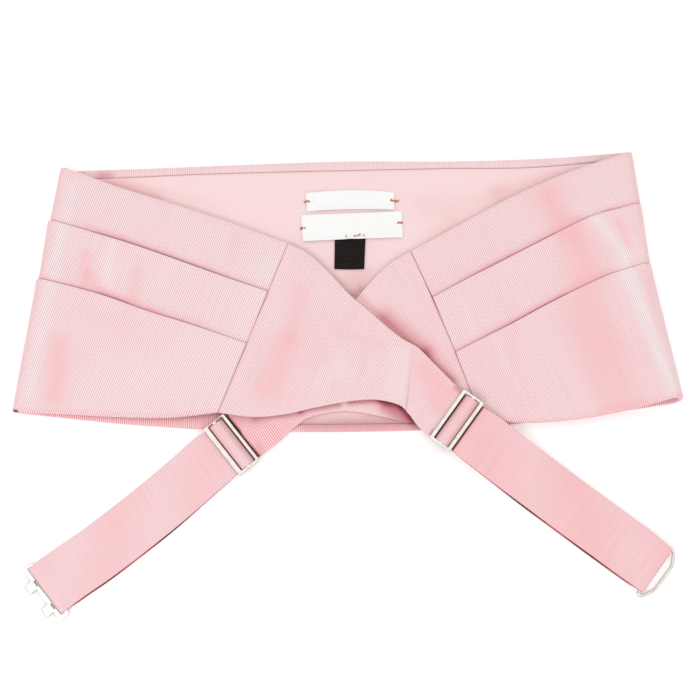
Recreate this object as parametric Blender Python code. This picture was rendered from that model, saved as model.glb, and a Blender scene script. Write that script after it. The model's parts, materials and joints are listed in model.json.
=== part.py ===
"""A pleated pink cummerbund, laid with its pleats down, both ends folded over and its straps crossed.

X runs along the garment, Y from its lower edge to its upper edge, Z up. The origin is the middle of the
flat underside of the centre panel, so the garment lies on the plane z = 0. All sizes and places below are
in millimetres; each mesh is scaled to metres as it is made.

Words used below: a rail is one of the four lines that run along the panel (upper edge, two pleats, lower
edge); a level is a distance out from the panel's inner face, positive towards the pleated outside; a
section is a straight cut across a piece, from its upper edge to its lower edge.
"""

import math
from collections import namedtuple

import bmesh
import bpy
import numpy as np

MM = 0.001
SHARP_ANGLE = 40.0
BEVEL_ANGLE = 50.0

# Cloth walls and the space between two pieces.
OUTER_WALL = 1.0
LINING_WALL = 1.0
YOKE_WALL = 1.2
STRAP_WALL = 1.0
LABEL_WALL = 0.6
SEAM_GAP = 0.3
LAYER_GAP = 0.2
EDGE_SPACE = 0.1

# The panel: its cloth is turned over both long edges, and two pleats open towards the upper edge.
UPPER_TURNING = 4.5
LOWER_TURNING = 3.5
TURNING_LEVEL = -1.4
EDGE_ROUNDING = 0.5
PLEAT_FRACTIONS = (0.0, 0.22, 0.46, 1.0)
PLEAT_DEPTH = 2.5
PLEAT_LIP_LEVEL = 2.0
PLEAT_FADE = 8.0
LIP_ROUNDING = 0.3
LIP_CREST = 0.6
BAND_END = 1.0
BAND_DIP = 0.3
GROOVE_SLOPE = 0.02
PRESSED_NOTCH = 0.5
PRESSED_NOTCH_DEPTH = 0.5
PRESSED_NOTCH_RISE = 0.2
CENTRE_HEIGHT = OUTER_WALL

# The folds: each end of the panel rolls over a half circle. Radii are those at the upper and the lower edge.
# Bows are how far inside the straight line between those edges each rail folds, and slips are how far each
# one has slid towards the lower edge by the end of the turn.
Fold = namedtuple("Fold", "upper_radius lower_radius bows slips")
LEFT_FOLD = Fold(upper_radius=1.9, lower_radius=2.0, bows=(0.0, 0.0, 0.0, 0.0), slips=(-0.8, -0.2, 0.0, 0.0))
RIGHT_FOLD = Fold(upper_radius=3.4, lower_radius=4.2, bows=(0.0, 1.1, 2.4, 0.0), slips=(2.0, 0.4, 0.0, -1.7))
FOLD_STEPS = 8
FREEING_START = -0.1
FREEING_END = 2.0

# The centre of the panel, from the right fold to the left fold.
CentreSection = namedtuple("CentreSection", "upper_x upper_y lower_x lower_y")
CENTRE = (
    CentreSection(130.0, 69.6, 149.9, -51.9),
    CentreSection(92.0, 66.7, 105.0, -58.2),
    CentreSection(46.0, 65.3, 53.0, -63.2),
    CentreSection(0.0, 65.3, 0.0, -64.9),
    CentreSection(-46.0, 63.8, -52.0, -64.4),
    CentreSection(-92.0, 61.9, -104.0, -61.4),
    CentreSection(-135.4, 60.5, -154.3, -56.2),
)

# The two wings, the ends of the panel that are folded over it, from next to the fold to the seam with the
# yoke. The heights are those of the cloth's inner face above the table.
WingSection = namedtuple(
    "WingSection",
    "upper_x upper_y pleat1_x pleat1_y pleat2_x pleat2_y lower_x lower_y upper_height lower_height",
)
LEFT_WING = (
    WingSection(-108.5, 51.4, -114.0, 27.4, -119.0, 1.0, -130.0, -57.3, 4.7, 4.8),
    WingSection(-82.0, 43.2, -89.0, 19.0, -95.5, -7.6, -107.0, -58.5, 4.5, 4.8),
    WingSection(-55.5, 34.3, -64.0, 9.9, -71.8, -15.6, -84.0, -58.9, 4.2, 5.0),
    WingSection(-29.3, 24.6, -38.5, 1.2, -48.2, -23.6, -61.2, -56.6, 4.0, 5.4),
)
RIGHT_WING = (
    WingSection(104.5, 58.8, 111.0, 36.0, 116.5, 6.4, 127.5, -56.0, 7.2, 8.4),
    WingSection(79.5, 48.2, 86.5, 24.2, 94.0, -4.6, 105.5, -59.8, 6.0, 6.6),
    WingSection(54.0, 34.8, 62.5, 11.0, 71.5, -16.5, 83.0, -61.2, 4.9, 5.0),
    WingSection(28.6, 20.8, 37.9, -1.4, 48.1, -27.5, 61.4, -60.4, 4.0, 4.1),
)
WING_STEPS = 2
CENTRE_STEPS = 2

# The yokes, from the seam with the wing to just short of the slider. The heights are those of the cloth's
# middle.
YokeSection = namedtuple("YokeSection", "upper_x upper_y lower_x lower_y upper_height lower_height")
LEFT_YOKE = (
    YokeSection(-18.9, 18.9, -44.5, -58.6, 4.6, 5.8),
    YokeSection(-8.9, 9.2, -29.6, -57.2, 4.8, 5.5),
    YokeSection(0.0, -0.5, -15.3, -53.9, 4.9, 5.0),
    YokeSection(9.4, -8.6, 0.0, -51.1, 4.8, 4.8),
    YokeSection(17.8, -16.2, 12.1, -50.4, 5.0, 5.0),
    YokeSection(25.2, -21.9, 22.6, -52.8, 4.8, 4.9),
    YokeSection(31.7, -25.7, 27.3, -57.2, 5.6, 5.3),
    YokeSection(39.1, -32.4, 31.0, -62.2, 6.2, 5.2),
    YokeSection(46.4, -41.0, 35.2, -66.4, 7.0, 4.9),
)
RIGHT_YOKE = (
    YokeSection(17.9, 14.3, 44.9, -62.6, 3.7, 3.8),
    YokeSection(9.4, 5.7, 29.2, -61.2, 3.3, 3.4),
    YokeSection(0.0, -5.4, 13.9, -57.9, 3.2, 3.2),
    YokeSection(-9.4, -15.4, 0.0, -55.6, 3.2, 3.2),
    YokeSection(-17.8, -23.5, -10.2, -56.3, 3.2, 3.2),
    YokeSection(-26.1, -31.6, -19.5, -58.8, 3.2, 3.3),
    YokeSection(-33.6, -38.6, -25.0, -62.6, 3.2, 3.3),
    YokeSection(-42.8, -46.2, -31.0, -68.1, 3.3, 3.3),
    YokeSection(-50.6, -51.7, -36.6, -72.7, 3.5, 2.9),
)
YOKE_STEPS = 2
YOKE_COLUMNS = 6

# The sliders: flat frames of three bars. Each lies on the cloth, leaning on the edge of the panel, so its
# height is that of the underside of its bars at its middle, roll is the rise per mm across the strap and
# pitch along it.
SLIDER_LENGTH = 11.8
SLIDER_WIDTH = 27.4
OUTER_BAR = 2.0
CENTRE_BAR = 1.6
SIDE_BAR = 1.2
SLIDER_THICKNESS = 1.0
SLIDER_BEVEL = 0.2
Slider = namedtuple("Slider", "x y heading side height roll pitch")
LEFT_SLIDER = Slider(x=-54.9, y=-71.2, heading=218.5, side=-1.0, height=3.45, roll=0.06, pitch=0.0)
RIGHT_SLIDER = Slider(x=49.4, y=-60.5, heading=-36.0, side=1.0, height=7.1, roll=0.12, pitch=0.03)

# The straps. The route is the middle line beyond the slider; floor is the height of the strap's underside
# at its middle, distance is measured along the route from the slider's middle, and roll is the rise per mm
# across.
STRAP_WIDTH = 25.6
WIDTH_IN_SLIDER = 24.4
WIDENING_START = 6.2
WIDENING_LENGTH = 6.0
STRAIGHT_LENGTH = 14.0
ROUTE_STEPS = 12
SLIDER_CLEAR = 9.0
RETURN_END = 4.0
LOOP_RADIUS = 1.3
LOOP_STEPS = 6
LOOP_RISE_LENGTH = 14.0
LOOP_RISE_STEPS = 4
HUMP_FLAT = 4.05
HUMP_TOP = 0.75
HUMP_STEPS = 5
BEYOND_BAR = (5.2, 7.0)
STATION_MARGIN = 2.0
ALONG_STRAP = (9.0, 12.0, 15.0, 18.5, 21.5, 26.0, 31.0, 37.0, 44.0, 51.0, 58.0, 70.0, 82.0, 94.0)
LEFT_UNDER_SHIFT = 0.6
RIGHT_UNDER_SHIFT = 1.3
UNDER_SHIFT_GROWTH = 45.0
UNDER_SHIFT_RETURN = 12.0
StrapStation = namedtuple("StrapStation", "distance floor roll")
RoutePoint = namedtuple("RoutePoint", "x y")
LEFT_ROUTE = (
    RoutePoint(-88.6, -99.6),
    RoutePoint(-113.6, -119.4),
    RoutePoint(-129.0, -130.3),
    RoutePoint(-139.5, -138.5),
)
RIGHT_ROUTE = (
    RoutePoint(82.6, -85.0),
    RoutePoint(110.7, -106.0),
    RoutePoint(141.6, -128.8),
)
LEFT_FLOOR = (
    StrapStation(14.0, 0.6, 0.035),
    StrapStation(26.0, 0.0, 0.0),
)
RIGHT_FLOOR = (
    StrapStation(15.0, 4.4, 0.12),
    StrapStation(21.5, 3.9, 0.13),
    StrapStation(31.0, 2.0, 0.08),
    StrapStation(44.0, 0.4, 0.02),
    StrapStation(58.0, 0.0, 0.0),
)
EYE_NARROWING = 2.6
NARROWING_LENGTH = 16.0

# The hook plate: a bar in the strap's end, a slot for the cloth, a front rail and two tongues curled under.
# Each tongue has a small opening in the rail at its root. Sides and places are measured across the strap.
PLATE_THICKNESS = 0.8
PLATE_SIDES = (-15.1, 14.4)
PLATE_BAR = 1.6
PLATE_SLOT = 1.8
PLATE_RAIL = 2.1
PLATE_SLOT_SIDES = (-13.1, 13.1)
ROOT_OPENING = (0.4, 1.1)
ROOT_OPENING_WIDTH = 2.8
TONGUE_ROOT = 1.4
TONGUE_WIDTH = 4.7
TONGUE_THICKNESS = 0.78
TONGUE_PLACES = (-7.6, 5.4)
TONGUE_REACH = 6.4
TONGUE_RETURN = 1.2
TONGUE_RADIUS = 0.65
TONGUE_STEPS = 6

# The wire eye: a bent wire, given as corners across and out from the strap's end.
WIRE_RADIUS = 0.6
WIRE_SIDES = 8
WIRE_BEND = 1.2
WIRE_BEND_SHARE = 0.45
WIRE_BEND_STEPS = 3
SAME_POINT = 0.05
WireCorner = namedtuple("WireCorner", "across out")
WIRE_CORNERS = (
    WireCorner(-14.4, -1.8),
    WireCorner(11.2, -1.8),
    WireCorner(11.2, 0.4),
    WireCorner(5.2, 3.7),
    WireCorner(-8.6, 3.4),
    WireCorner(-14.4, 0.3),
)

# The labels, which lie on the lining. Corners run from the upper left, clockwise.
LINING_TOP = CENTRE_HEIGHT + SEAM_GAP + LINING_WALL
LabelCorner = namedtuple("LabelCorner", "x y")
UPPER_LABEL = (
    LabelCorner(-21.1, 49.6),
    LabelCorner(0.5, 50.6),
    LabelCorner(21.1, 49.9),
    LabelCorner(21.1, 41.2),
    LabelCorner(-20.4, 40.2),
)
MAIN_LABEL = (
    LabelCorner(-23.4, 38.7),
    LabelCorner(24.7, 40.6),
    LabelCorner(25.1, 27.6),
    LabelCorner(-22.4, 25.6),
)
CARE_LABEL = (
    LabelCorner(-7.2, 25.9),
    LabelCorner(7.4, 26.5),
    LabelCorner(6.7, 12.3),
    LabelCorner(-7.4, 12.3),
)

Finish = namedtuple("Finish", "red green blue roughness metallic")
FAILLE = Finish(0.87, 0.60, 0.63, 0.45, 0.0)
LINING_SILK = Finish(0.93, 0.72, 0.73, 0.5, 0.0)
NICKEL = Finish(0.75, 0.72, 0.64, 0.25, 1.0)
WHITE_SATIN = Finish(0.88, 0.87, 0.85, 0.55, 0.0)
BLACK_TAPE = Finish(0.03, 0.02, 0.02, 0.6, 0.0)


def clear_scene():
    """Removes every object of the startup scene."""
    for obj in list(bpy.data.objects):
        bpy.data.objects.remove(obj, do_unlink=True)


def material_of(name, finish):
    """A plain material with the finish's colour, roughness and metallic value."""
    material = bpy.data.materials.new(name)
    material.use_nodes = True
    shader = material.node_tree.nodes["Principled BSDF"]
    shader.inputs["Base Color"].default_value = (finish.red, finish.green, finish.blue, 1.0)
    shader.inputs["Roughness"].default_value = finish.roughness
    shader.inputs["Metallic"].default_value = finish.metallic
    return material


def object_of(name, points, faces, finish):
    """A mesh object from points in millimetres and faces, with its normals turned outwards."""
    mesh = bpy.data.meshes.new(name)
    mesh.from_pydata((np.asarray(points) * MM).tolist(), [], faces)
    shape = bmesh.new()
    shape.from_mesh(mesh)
    bmesh.ops.recalc_face_normals(shape, faces=shape.faces)
    shape.to_mesh(mesh)
    shape.free()
    mesh.shade_smooth()
    mesh.set_sharp_from_angle(angle=math.radians(SHARP_ANGLE))
    obj = bpy.data.objects.new(name, mesh)
    obj.data.materials.append(material_of(name, finish))
    bpy.context.scene.collection.objects.link(obj)
    return obj


def loft(name, rings, finish, endless=False):
    """A closed solid through rings of points, an array of rings x points x 3. An endless one has no end
    caps."""
    ring_count, point_count = rings.shape[:2]
    faces = []
    for ring in range(ring_count if endless else ring_count - 1):
        following = (ring + 1) % ring_count
        for point in range(point_count):
            beside = (point + 1) % point_count
            faces.append(
                (
                    ring * point_count + point,
                    ring * point_count + beside,
                    following * point_count + beside,
                    following * point_count + point,
                )
            )
    if not endless:
        faces.append(tuple(range(point_count)))
        faces.append(tuple(range((ring_count - 1) * point_count, ring_count * point_count)))
    return object_of(name, rings.reshape(-1, 3), faces, finish)


def smooth_through(rows, steps):
    """Catmull-Rom curves through rows of numbers, with steps intervals between two rows."""
    rows = np.asarray(rows, float)
    before = np.concatenate([2 * rows[:1] - rows[1:2], rows[:-1]])
    after = np.concatenate([rows[1:], 2 * rows[-1:] - rows[-2:-1]])
    slopes = (after - before) / 2
    found = []
    for index in range(len(rows) - 1):
        for step in range(steps):
            t = step / steps
            found.append(
                (2 * t**3 - 3 * t**2 + 1) * rows[index]
                + (t**3 - 2 * t**2 + t) * slopes[index]
                + (3 * t**2 - 2 * t**3) * rows[index + 1]
                + (t**3 - t**2) * slopes[index + 1]
            )
    found.append(rows[-1])
    return np.array(found)


def smooth_step(x):
    """0 below 0, 1 above 1, and a smooth rise between."""
    x = np.clip(x, 0.0, 1.0)
    return x * x * (3 - 2 * x)


def unit(vectors):
    """The vectors, each of length 1."""
    return vectors / np.linalg.norm(vectors, axis=-1, keepdims=True)


def spread(grid, axis):
    """Central differences of a grid of points along one axis, one-sided at its ends."""
    return np.gradient(grid, axis=axis)


# ---- The panel and its lining ----


def centre_rails(section):
    """The four rails' points on one centre section."""
    upper = np.array([section[0], section[1], CENTRE_HEIGHT])
    lower = np.array([section[2], section[3], CENTRE_HEIGHT])
    return np.array([upper + (lower - upper) * fraction for fraction in PLEAT_FRACTIONS])


def wing_rails(section):
    """The four rails' points on one wing section, their height running from the upper to the lower
    edge's."""
    rise = section.lower_height - section.upper_height
    heights = [section.upper_height + rise * fraction for fraction in PLEAT_FRACTIONS]
    return np.array(
        [
            (section.upper_x, section.upper_y, heights[0]),
            (section.pleat1_x, section.pleat1_y, heights[1]),
            (section.pleat2_x, section.pleat2_y, heights[2]),
            (section.lower_x, section.lower_y, heights[3]),
        ]
    )


def fold_rows(section, fold, outward):
    """Rows of rails round a fold, from the panel's level over to the wing's level, on half circles, each
    rail bowed in and slipping along the fold as it turns."""
    flat = centre_rails(section)
    along = unit(flat[-1] - flat[0])
    out = np.array([-along[1], along[0], 0.0])
    out *= math.copysign(1.0, out[0] * outward)
    fractions = np.array(PLEAT_FRACTIONS)
    radii = (fold.upper_radius + (fold.lower_radius - fold.upper_radius) * fractions)[:, None]
    bowed = flat - np.array(fold.bows)[:, None] * out
    slip = np.array(fold.slips)[:, None] * along
    rows = []
    for angle in np.linspace(0.0, math.pi, FOLD_STEPS + 1):
        lift = np.array([0.0, 0.0, 1.0]) * (1 - math.cos(angle))
        rows.append(bowed + slip * (1 - math.cos(angle)) / 2 + radii * (math.sin(angle) * out + lift))
    return np.array(rows)


def panel_rows():
    """Rows of rails from the right seam, over the right fold, across the centre and over the left fold to
    the left seam, and for each row how far it is from pressed flat (0, on the table) to free (1, on a
    wing)."""
    right_fold = fold_rows(CENTRE[0], RIGHT_FOLD, 1.0)
    left_fold = fold_rows(CENTRE[-1], LEFT_FOLD, -1.0)
    right_wing = smooth_through([right_fold[-1]] + [wing_rails(row) for row in RIGHT_WING], WING_STEPS)
    left_wing = smooth_through([left_fold[-1]] + [wing_rails(row) for row in LEFT_WING], WING_STEPS)
    centre = np.array([centre_rails(row) for row in smooth_through(CENTRE, CENTRE_STEPS)])
    turn = smooth_step(np.linspace(FREEING_START, FREEING_END, FOLD_STEPS + 1))
    rails = [right_wing[:0:-1], right_fold[::-1], centre[1:-1], left_fold, left_wing[1:]]
    free = [
        np.ones(len(right_wing) - 1),
        turn[::-1],
        np.zeros(len(centre) - 2),
        turn,
        np.ones(len(left_wing) - 1),
    ]
    return np.concatenate(rails), np.concatenate(free)


def outward_of(rails):
    """The outward direction at each rail of each row, across the cloth from its lining to its pleated
    side."""
    return -unit(np.cross(spread(rails, 0), spread(rails, 1)))


ProfilePoint = namedtuple("ProfilePoint", "rail shift_free shift_pressed level_free level_pressed")


def pleat_profile(rail):
    """The outline of one pleat across the panel: the band above, the groove under the lip, the lip, its
    fade."""
    wall = OUTER_WALL
    notch = wall - PRESSED_NOTCH_DEPTH
    step = notch + PRESSED_NOTCH_RISE
    under_lip = wall + SEAM_GAP
    shoulder = PLEAT_LIP_LEVEL - LIP_ROUNDING
    floor = wall - 2 * GROOVE_SLOPE
    return (
        ProfilePoint(rail, -BAND_END, -BAND_END, wall, wall),
        ProfilePoint(rail, -BAND_DIP, -BAND_DIP, wall - GROOVE_SLOPE, notch + GROOVE_SLOPE),
        ProfilePoint(rail, PLEAT_DEPTH, PRESSED_NOTCH, floor, notch),
        ProfilePoint(rail, PLEAT_DEPTH, PRESSED_NOTCH, floor + SEAM_GAP, step),
        ProfilePoint(rail, 0.0, 0.0, under_lip, step),
        ProfilePoint(rail, 0.0, 0.0, shoulder, wall - LIP_ROUNDING / 2),
        ProfilePoint(rail, LIP_CREST, LIP_CREST, PLEAT_LIP_LEVEL, wall),
        ProfilePoint(rail, PLEAT_FADE, PLEAT_FADE, shoulder, wall),
    )


def panel_profile():
    """The closed outline of the panel's cloth across its width: outside from the upper edge down, inside
    back."""
    wall = OUTER_WALL
    turned = TURNING_LEVEL
    edge = EDGE_ROUNDING
    outside = (
        ProfilePoint(0, 0.0, 0.0, turned + edge, turned + edge),
        ProfilePoint(0, 0.0, 0.0, wall - edge, wall - edge),
        ProfilePoint(0, edge, edge, wall, wall),
        *pleat_profile(1),
        *pleat_profile(2),
        ProfilePoint(3, -edge, -edge, wall, wall),
        ProfilePoint(3, 0.0, 0.0, wall - edge, wall - edge),
    )
    inside = (
        ProfilePoint(3, 0.0, 0.0, turned + edge, turned + edge),
        ProfilePoint(3, -edge, -edge, turned, turned),
        ProfilePoint(3, -LOWER_TURNING, -LOWER_TURNING, turned, turned),
        ProfilePoint(3, -LOWER_TURNING, -LOWER_TURNING, 0.0, 0.0),
        ProfilePoint(2, 0.0, 0.0, 0.0, 0.0),
        ProfilePoint(1, 0.0, 0.0, 0.0, 0.0),
        ProfilePoint(0, UPPER_TURNING, UPPER_TURNING, 0.0, 0.0),
        ProfilePoint(0, UPPER_TURNING, UPPER_TURNING, turned, turned),
        ProfilePoint(0, edge, edge, turned, turned),
    )
    return outside + inside


def lining_profile():
    """The closed outline of the lining across its width, which is let in between the two turned-over
    edges."""
    near = -SEAM_GAP
    far = near - LINING_WALL
    upper = UPPER_TURNING + SEAM_GAP
    lower = -LOWER_TURNING - SEAM_GAP
    places = ((0, upper), (1, 0.0), (2, 0.0), (3, lower))
    outside = [ProfilePoint(rail, shift, shift, near, near) for rail, shift in places]
    inside = [ProfilePoint(rail, shift, shift, far, far) for rail, shift in reversed(places)]
    return outside + inside


def sweep_profile(profile, rails, outward, free):
    """Rings of the profile along the panel. A shift is measured along the row from its rail, towards the
    lower edge where it is positive."""
    rings = np.empty((len(rails), len(profile), 3))
    for index, point in enumerate(profile):
        shift = point.shift_pressed + (point.shift_free - point.shift_pressed) * free
        level = point.level_pressed + (point.level_free - point.level_pressed) * free
        neighbour = point.rail + 1 if point.shift_pressed >= 0 and point.rail < 3 else point.rail - 1
        sign = 1.0 if neighbour > point.rail else -1.0
        gap = rails[:, neighbour] - rails[:, point.rail]
        part = (sign * shift / np.linalg.norm(gap, axis=1))[:, None]
        place = rails[:, point.rail] + gap * part
        direction = unit(outward[:, point.rail] * (1 - part) + outward[:, neighbour] * part)
        rings[:, index] = place + direction * level[:, None]
    return rings


def make_panel():
    """The pleated outer cloth, in one piece with its turned-over edges, and the lining inside it."""
    rails, free = panel_rows()
    outward = outward_of(rails)
    loft("pleated_panel", sweep_profile(panel_profile(), rails, outward, free), FAILLE)
    loft("lining", sweep_profile(lining_profile(), rails, outward, free), LINING_SILK)


# ---- Sliders, yokes and straps ----


def heading_of(slider):
    """The unit vectors along the strap, towards its end, and across it, towards its upper edge."""
    angle = math.radians(slider.heading)
    along = np.array([math.cos(angle), math.sin(angle)])
    across = slider.side * np.array([-along[1], along[0]])
    return along, across


def slider_height(slider, distance, across):
    """The height of the underside of the slider's bars."""
    return slider.height + slider.roll * across + slider.pitch * distance


def slider_point(slider, distance, across, rise):
    """A point of the slider's own frame, rise above the underside of its bars."""
    along, aside = heading_of(slider)
    plan = np.array([slider.x, slider.y]) + along * distance + aside * across
    return np.array([plan[0], plan[1], slider_height(slider, distance, across) + rise])


def seam_section(wing, towards):
    """A yoke's first section, which follows the end of its wing a seam's gap away from it."""
    last = wing[-1]
    upper = np.array([last.upper_x, last.upper_y])
    lower = np.array([last.lower_x, last.lower_y])
    line = unit(lower - upper)
    away = np.array([-line[1], line[0]])
    away *= math.copysign(SEAM_GAP, away[0] * towards)
    flush = OUTER_WALL - YOKE_WALL / 2
    return (*(upper + away), *(lower + away), last.upper_height + flush, last.lower_height + flush)


def last_section(slider):
    """A yoke's last section, a seam's gap from the strap, at the slider's outer bar."""
    distance = -SLIDER_LENGTH / 2 - EDGE_SPACE - SEAM_GAP
    rise = -LAYER_GAP - STRAP_WALL / 2
    upper = slider_point(slider, distance, WIDTH_IN_SLIDER / 2, rise)
    lower = slider_point(slider, distance, -WIDTH_IN_SLIDER / 2, rise)
    return (upper[0], upper[1], lower[0], lower[1], upper[2], lower[2])


def make_yoke(name, wing, towards, table, slider):
    """A yoke, a sheet through its sections from the seam with its wing to the slider."""
    sections = [seam_section(wing, towards), *table, last_section(slider)]
    rows = smooth_through(sections, YOKE_STEPS)
    upper = rows[:, [0, 1, 4]][:, None]
    lower = rows[:, [2, 3, 5]][:, None]
    across = np.linspace(0.0, 1.0, YOKE_COLUMNS)[None, :, None]
    middle = upper + (lower - upper) * across
    normals = unit(np.cross(spread(middle, 0), spread(middle, 1)))
    normals *= np.sign(normals[:, :, 2:3])
    wall = np.linspace(YOKE_WALL, STRAP_WALL, len(rows))[:, None, None]
    over = middle + normals * wall / 2
    under = middle - normals * wall / 2
    loft(name, np.concatenate([over, under[:, ::-1]], axis=1), FAILLE)


def route_of(slider, table):
    """The strap's middle line as closely spaced points, with each one's distance along it from the
    slider."""
    along, _ = heading_of(slider)
    start = np.array([slider.x, slider.y])
    knots = [start, start + along * STRAIGHT_LENGTH, *[np.array(point) for point in table]]
    line = smooth_through(knots, ROUTE_STEPS)
    steps = np.linalg.norm(np.diff(line, axis=0), axis=1)
    return line, np.concatenate([[0.0], np.cumsum(steps)])


def on_route(slider, line, lengths, distance):
    """The plan point and the direction across the strap at each distance along its route."""
    along, across = heading_of(slider)
    tangents = unit(spread(line, 0))
    x = np.interp(distance, lengths, line[:, 0])
    y = np.interp(distance, lengths, line[:, 1])
    tangent = np.stack(
        [np.interp(distance, lengths, tangents[:, 0]), np.interp(distance, lengths, tangents[:, 1])], axis=-1
    )
    place = np.stack([x, y], axis=-1)
    before = distance < SLIDER_LENGTH / 2
    past_end = np.maximum(distance - lengths[-1], 0.0)[:, None]
    place = np.where(before[:, None], line[0] + along * distance[:, None], place + unit(tangent) * past_end)
    tangent = np.where(before[:, None], along, unit(tangent))
    aside = slider.side * np.stack([-tangent[:, 1], tangent[:, 0]], axis=-1)
    return place, aside


def ground_stations(slider, floor, length):
    """The floor table with the slider's own plane before it and the flat table after it, as rows of
    numbers."""
    double = STRAP_WALL * 1.5 + LAYER_GAP
    drop = double + STRAP_WALL / 2 + LAYER_GAP
    clear = StrapStation(SLIDER_CLEAR, slider.height + SLIDER_CLEAR * slider.pitch - drop, slider.roll)
    inner = StrapStation(-SLIDER_CLEAR, slider.height - SLIDER_CLEAR * slider.pitch - drop, slider.roll)
    return np.array([inner, clear, *floor, StrapStation(length + STRAIGHT_LENGTH, 0.0, 0.0)])


def strap_path(stations, length):
    """The strap's side view, as distance and height of its middle: under, over and under the slider's bars,
    along the upper layer, round the end fitting and back along the lower layer. Also the count of upper
    points."""
    double = STRAP_WALL * 1.5 + LAYER_GAP
    loop_centre = length - LOOP_RADIUS - STRAP_WALL / 2
    hump = np.linspace(HUMP_FLAT, HUMP_TOP, HUMP_STEPS + 1)
    start = -SLIDER_LENGTH / 2 - EDGE_SPACE
    near = np.concatenate([[start], -hump, [0.0], hump[::-1], BEYOND_BAR])
    ease = loop_centre - LOOP_RISE_LENGTH * np.linspace(1.0, 0.0, LOOP_RISE_STEPS + 1)
    far = np.array(ALONG_STRAP)
    far = far[far < ease[0] - STATION_MARGIN]
    upper = np.concatenate([near, far, ease])
    over_bar = 2 * LAYER_GAP + SLIDER_THICKNESS + STRAP_WALL
    rise = over_bar * smooth_step((HUMP_FLAT - np.abs(upper)) / (HUMP_FLAT - HUMP_TOP))
    lift = 2 * LOOP_RADIUS + STRAP_WALL / 2 - double
    rise += lift * smooth_step((upper - ease[0]) / LOOP_RISE_LENGTH)
    upper_height = np.interp(upper, stations[:, 0], stations[:, 1]) + double + rise
    turn = np.linspace(math.pi / 2, -math.pi / 2, LOOP_STEPS + 1)[1:-1]
    loop = loop_centre + LOOP_RADIUS * np.cos(turn)
    loop_height = STRAP_WALL / 2 + LOOP_RADIUS * (1 + np.sin(turn))
    lower = np.concatenate([[loop_centre], ease[-2::-1], far[::-1], BEYOND_BAR[::-1], [RETURN_END]])
    lower_height = np.interp(lower, stations[:, 0], stations[:, 1]) + STRAP_WALL / 2
    distance = np.concatenate([upper, loop, lower])
    height = np.concatenate([upper_height, loop_height, lower_height])
    return np.stack([distance, height], axis=-1), len(upper)


def strap_half_width(distance, length, narrowing):
    """Half the strap's width at each distance, and its half width at the upper edge, narrowed at the end."""
    widening = smooth_step((np.abs(distance) - WIDENING_START) / WIDENING_LENGTH)
    half = (WIDTH_IN_SLIDER + (STRAP_WIDTH - WIDTH_IN_SLIDER) * widening) / 2
    near_end = smooth_step((distance - length + NARROWING_LENGTH) / NARROWING_LENGTH)
    return half, half - narrowing * near_end


def make_strap(name, slider, table, floor, narrowing, under_shift):
    """A strap: its side view given thickness, carried across its width along its route. Its lower layer
    lies a little nearer the lower edge than its upper layer."""
    line, lengths = route_of(slider, table)
    length = lengths[-1]
    stations = ground_stations(slider, floor, length)
    path, upper_count = strap_path(stations, length)
    tangent = unit(spread(path, 0))
    normal = np.stack([-tangent[:, 1], tangent[:, 0]], axis=-1) * STRAP_WALL / 2
    is_under = np.arange(len(path)) >= upper_count
    columns = []
    for face, sides in ((1.0, (-1.0, 0.0, 1.0)), (-1.0, (1.0, 0.0, -1.0))):
        for side in sides:
            shifted = path + face * normal
            distance = shifted[:, 0]
            place, aside = on_route(slider, line, lengths, distance)
            roll = np.interp(distance, stations[:, 0], stations[:, 2])
            half, upper_half = strap_half_width(distance, length, narrowing)
            slide = smooth_step((distance - SLIDER_CLEAR) / UNDER_SHIFT_GROWTH)
            slide *= smooth_step((length - distance) / UNDER_SHIFT_RETURN)
            offset = side * (upper_half if side > 0 else half) - under_shift * slide * is_under
            plan = place + aside * offset[:, None]
            columns.append(np.column_stack([plan, shifted[:, 1] + roll * offset]))
    loft(name, np.stack(columns, axis=1), FAILLE)


def plate_mesh(across_cuts, along_cuts, holes, thickness):
    """Points and faces of a flat plate cut into cells, with the named cells left open, before it is
    placed."""
    shape = bmesh.new()
    corners = [[shape.verts.new((x, y, 0.0)) for y in along_cuts] for x in across_cuts]
    for i in range(len(across_cuts) - 1):
        for j in range(len(along_cuts) - 1):
            if (i, j) in holes:
                continue
            shape.faces.new((corners[i][j], corners[i + 1][j], corners[i + 1][j + 1], corners[i][j + 1]))
    made = bmesh.ops.extrude_face_region(shape, geom=shape.faces[:])
    raised = [item for item in made["geom"] if isinstance(item, bmesh.types.BMVert)]
    bmesh.ops.translate(shape, verts=raised, vec=(0.0, 0.0, thickness))
    shape.verts.index_update()
    points = np.array([vertex.co[:] for vertex in shape.verts])
    faces = [tuple(vertex.index for vertex in face.verts) for face in shape.faces]
    shape.free()
    return points, faces


def bevel(obj, width):
    """Rounds the object's hard edges."""
    modifier = obj.modifiers.new("edges", "BEVEL")
    modifier.width = width * MM
    modifier.segments = 1
    modifier.limit_method = "ANGLE"
    modifier.angle_limit = math.radians(BEVEL_ANGLE)


def make_slider(name, slider):
    """A slider: three bars across the strap and two short sides, cut from one plate."""
    half = SLIDER_LENGTH / 2
    wide = SLIDER_WIDTH / 2
    along_cuts = (-half, -half + OUTER_BAR, -CENTRE_BAR / 2, CENTRE_BAR / 2, half - OUTER_BAR, half)
    across_cuts = (-wide, -wide + SIDE_BAR, wide - SIDE_BAR, wide)
    points, faces = plate_mesh(along_cuts, across_cuts, {(1, 1), (3, 1)}, SLIDER_THICKNESS)
    placed = [slider_point(slider, *point) for point in points]
    bevel(object_of(name, placed, faces, NICKEL), SLIDER_BEVEL)


def end_frame(slider, table):
    """The end of a strap: its middle, and the directions out from it and across it."""
    line, lengths = route_of(slider, table)
    place, aside = on_route(slider, line, lengths, lengths[-1:])
    out = unit(line[-1] - line[-2])
    return place[0], out, aside[0]


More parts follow.
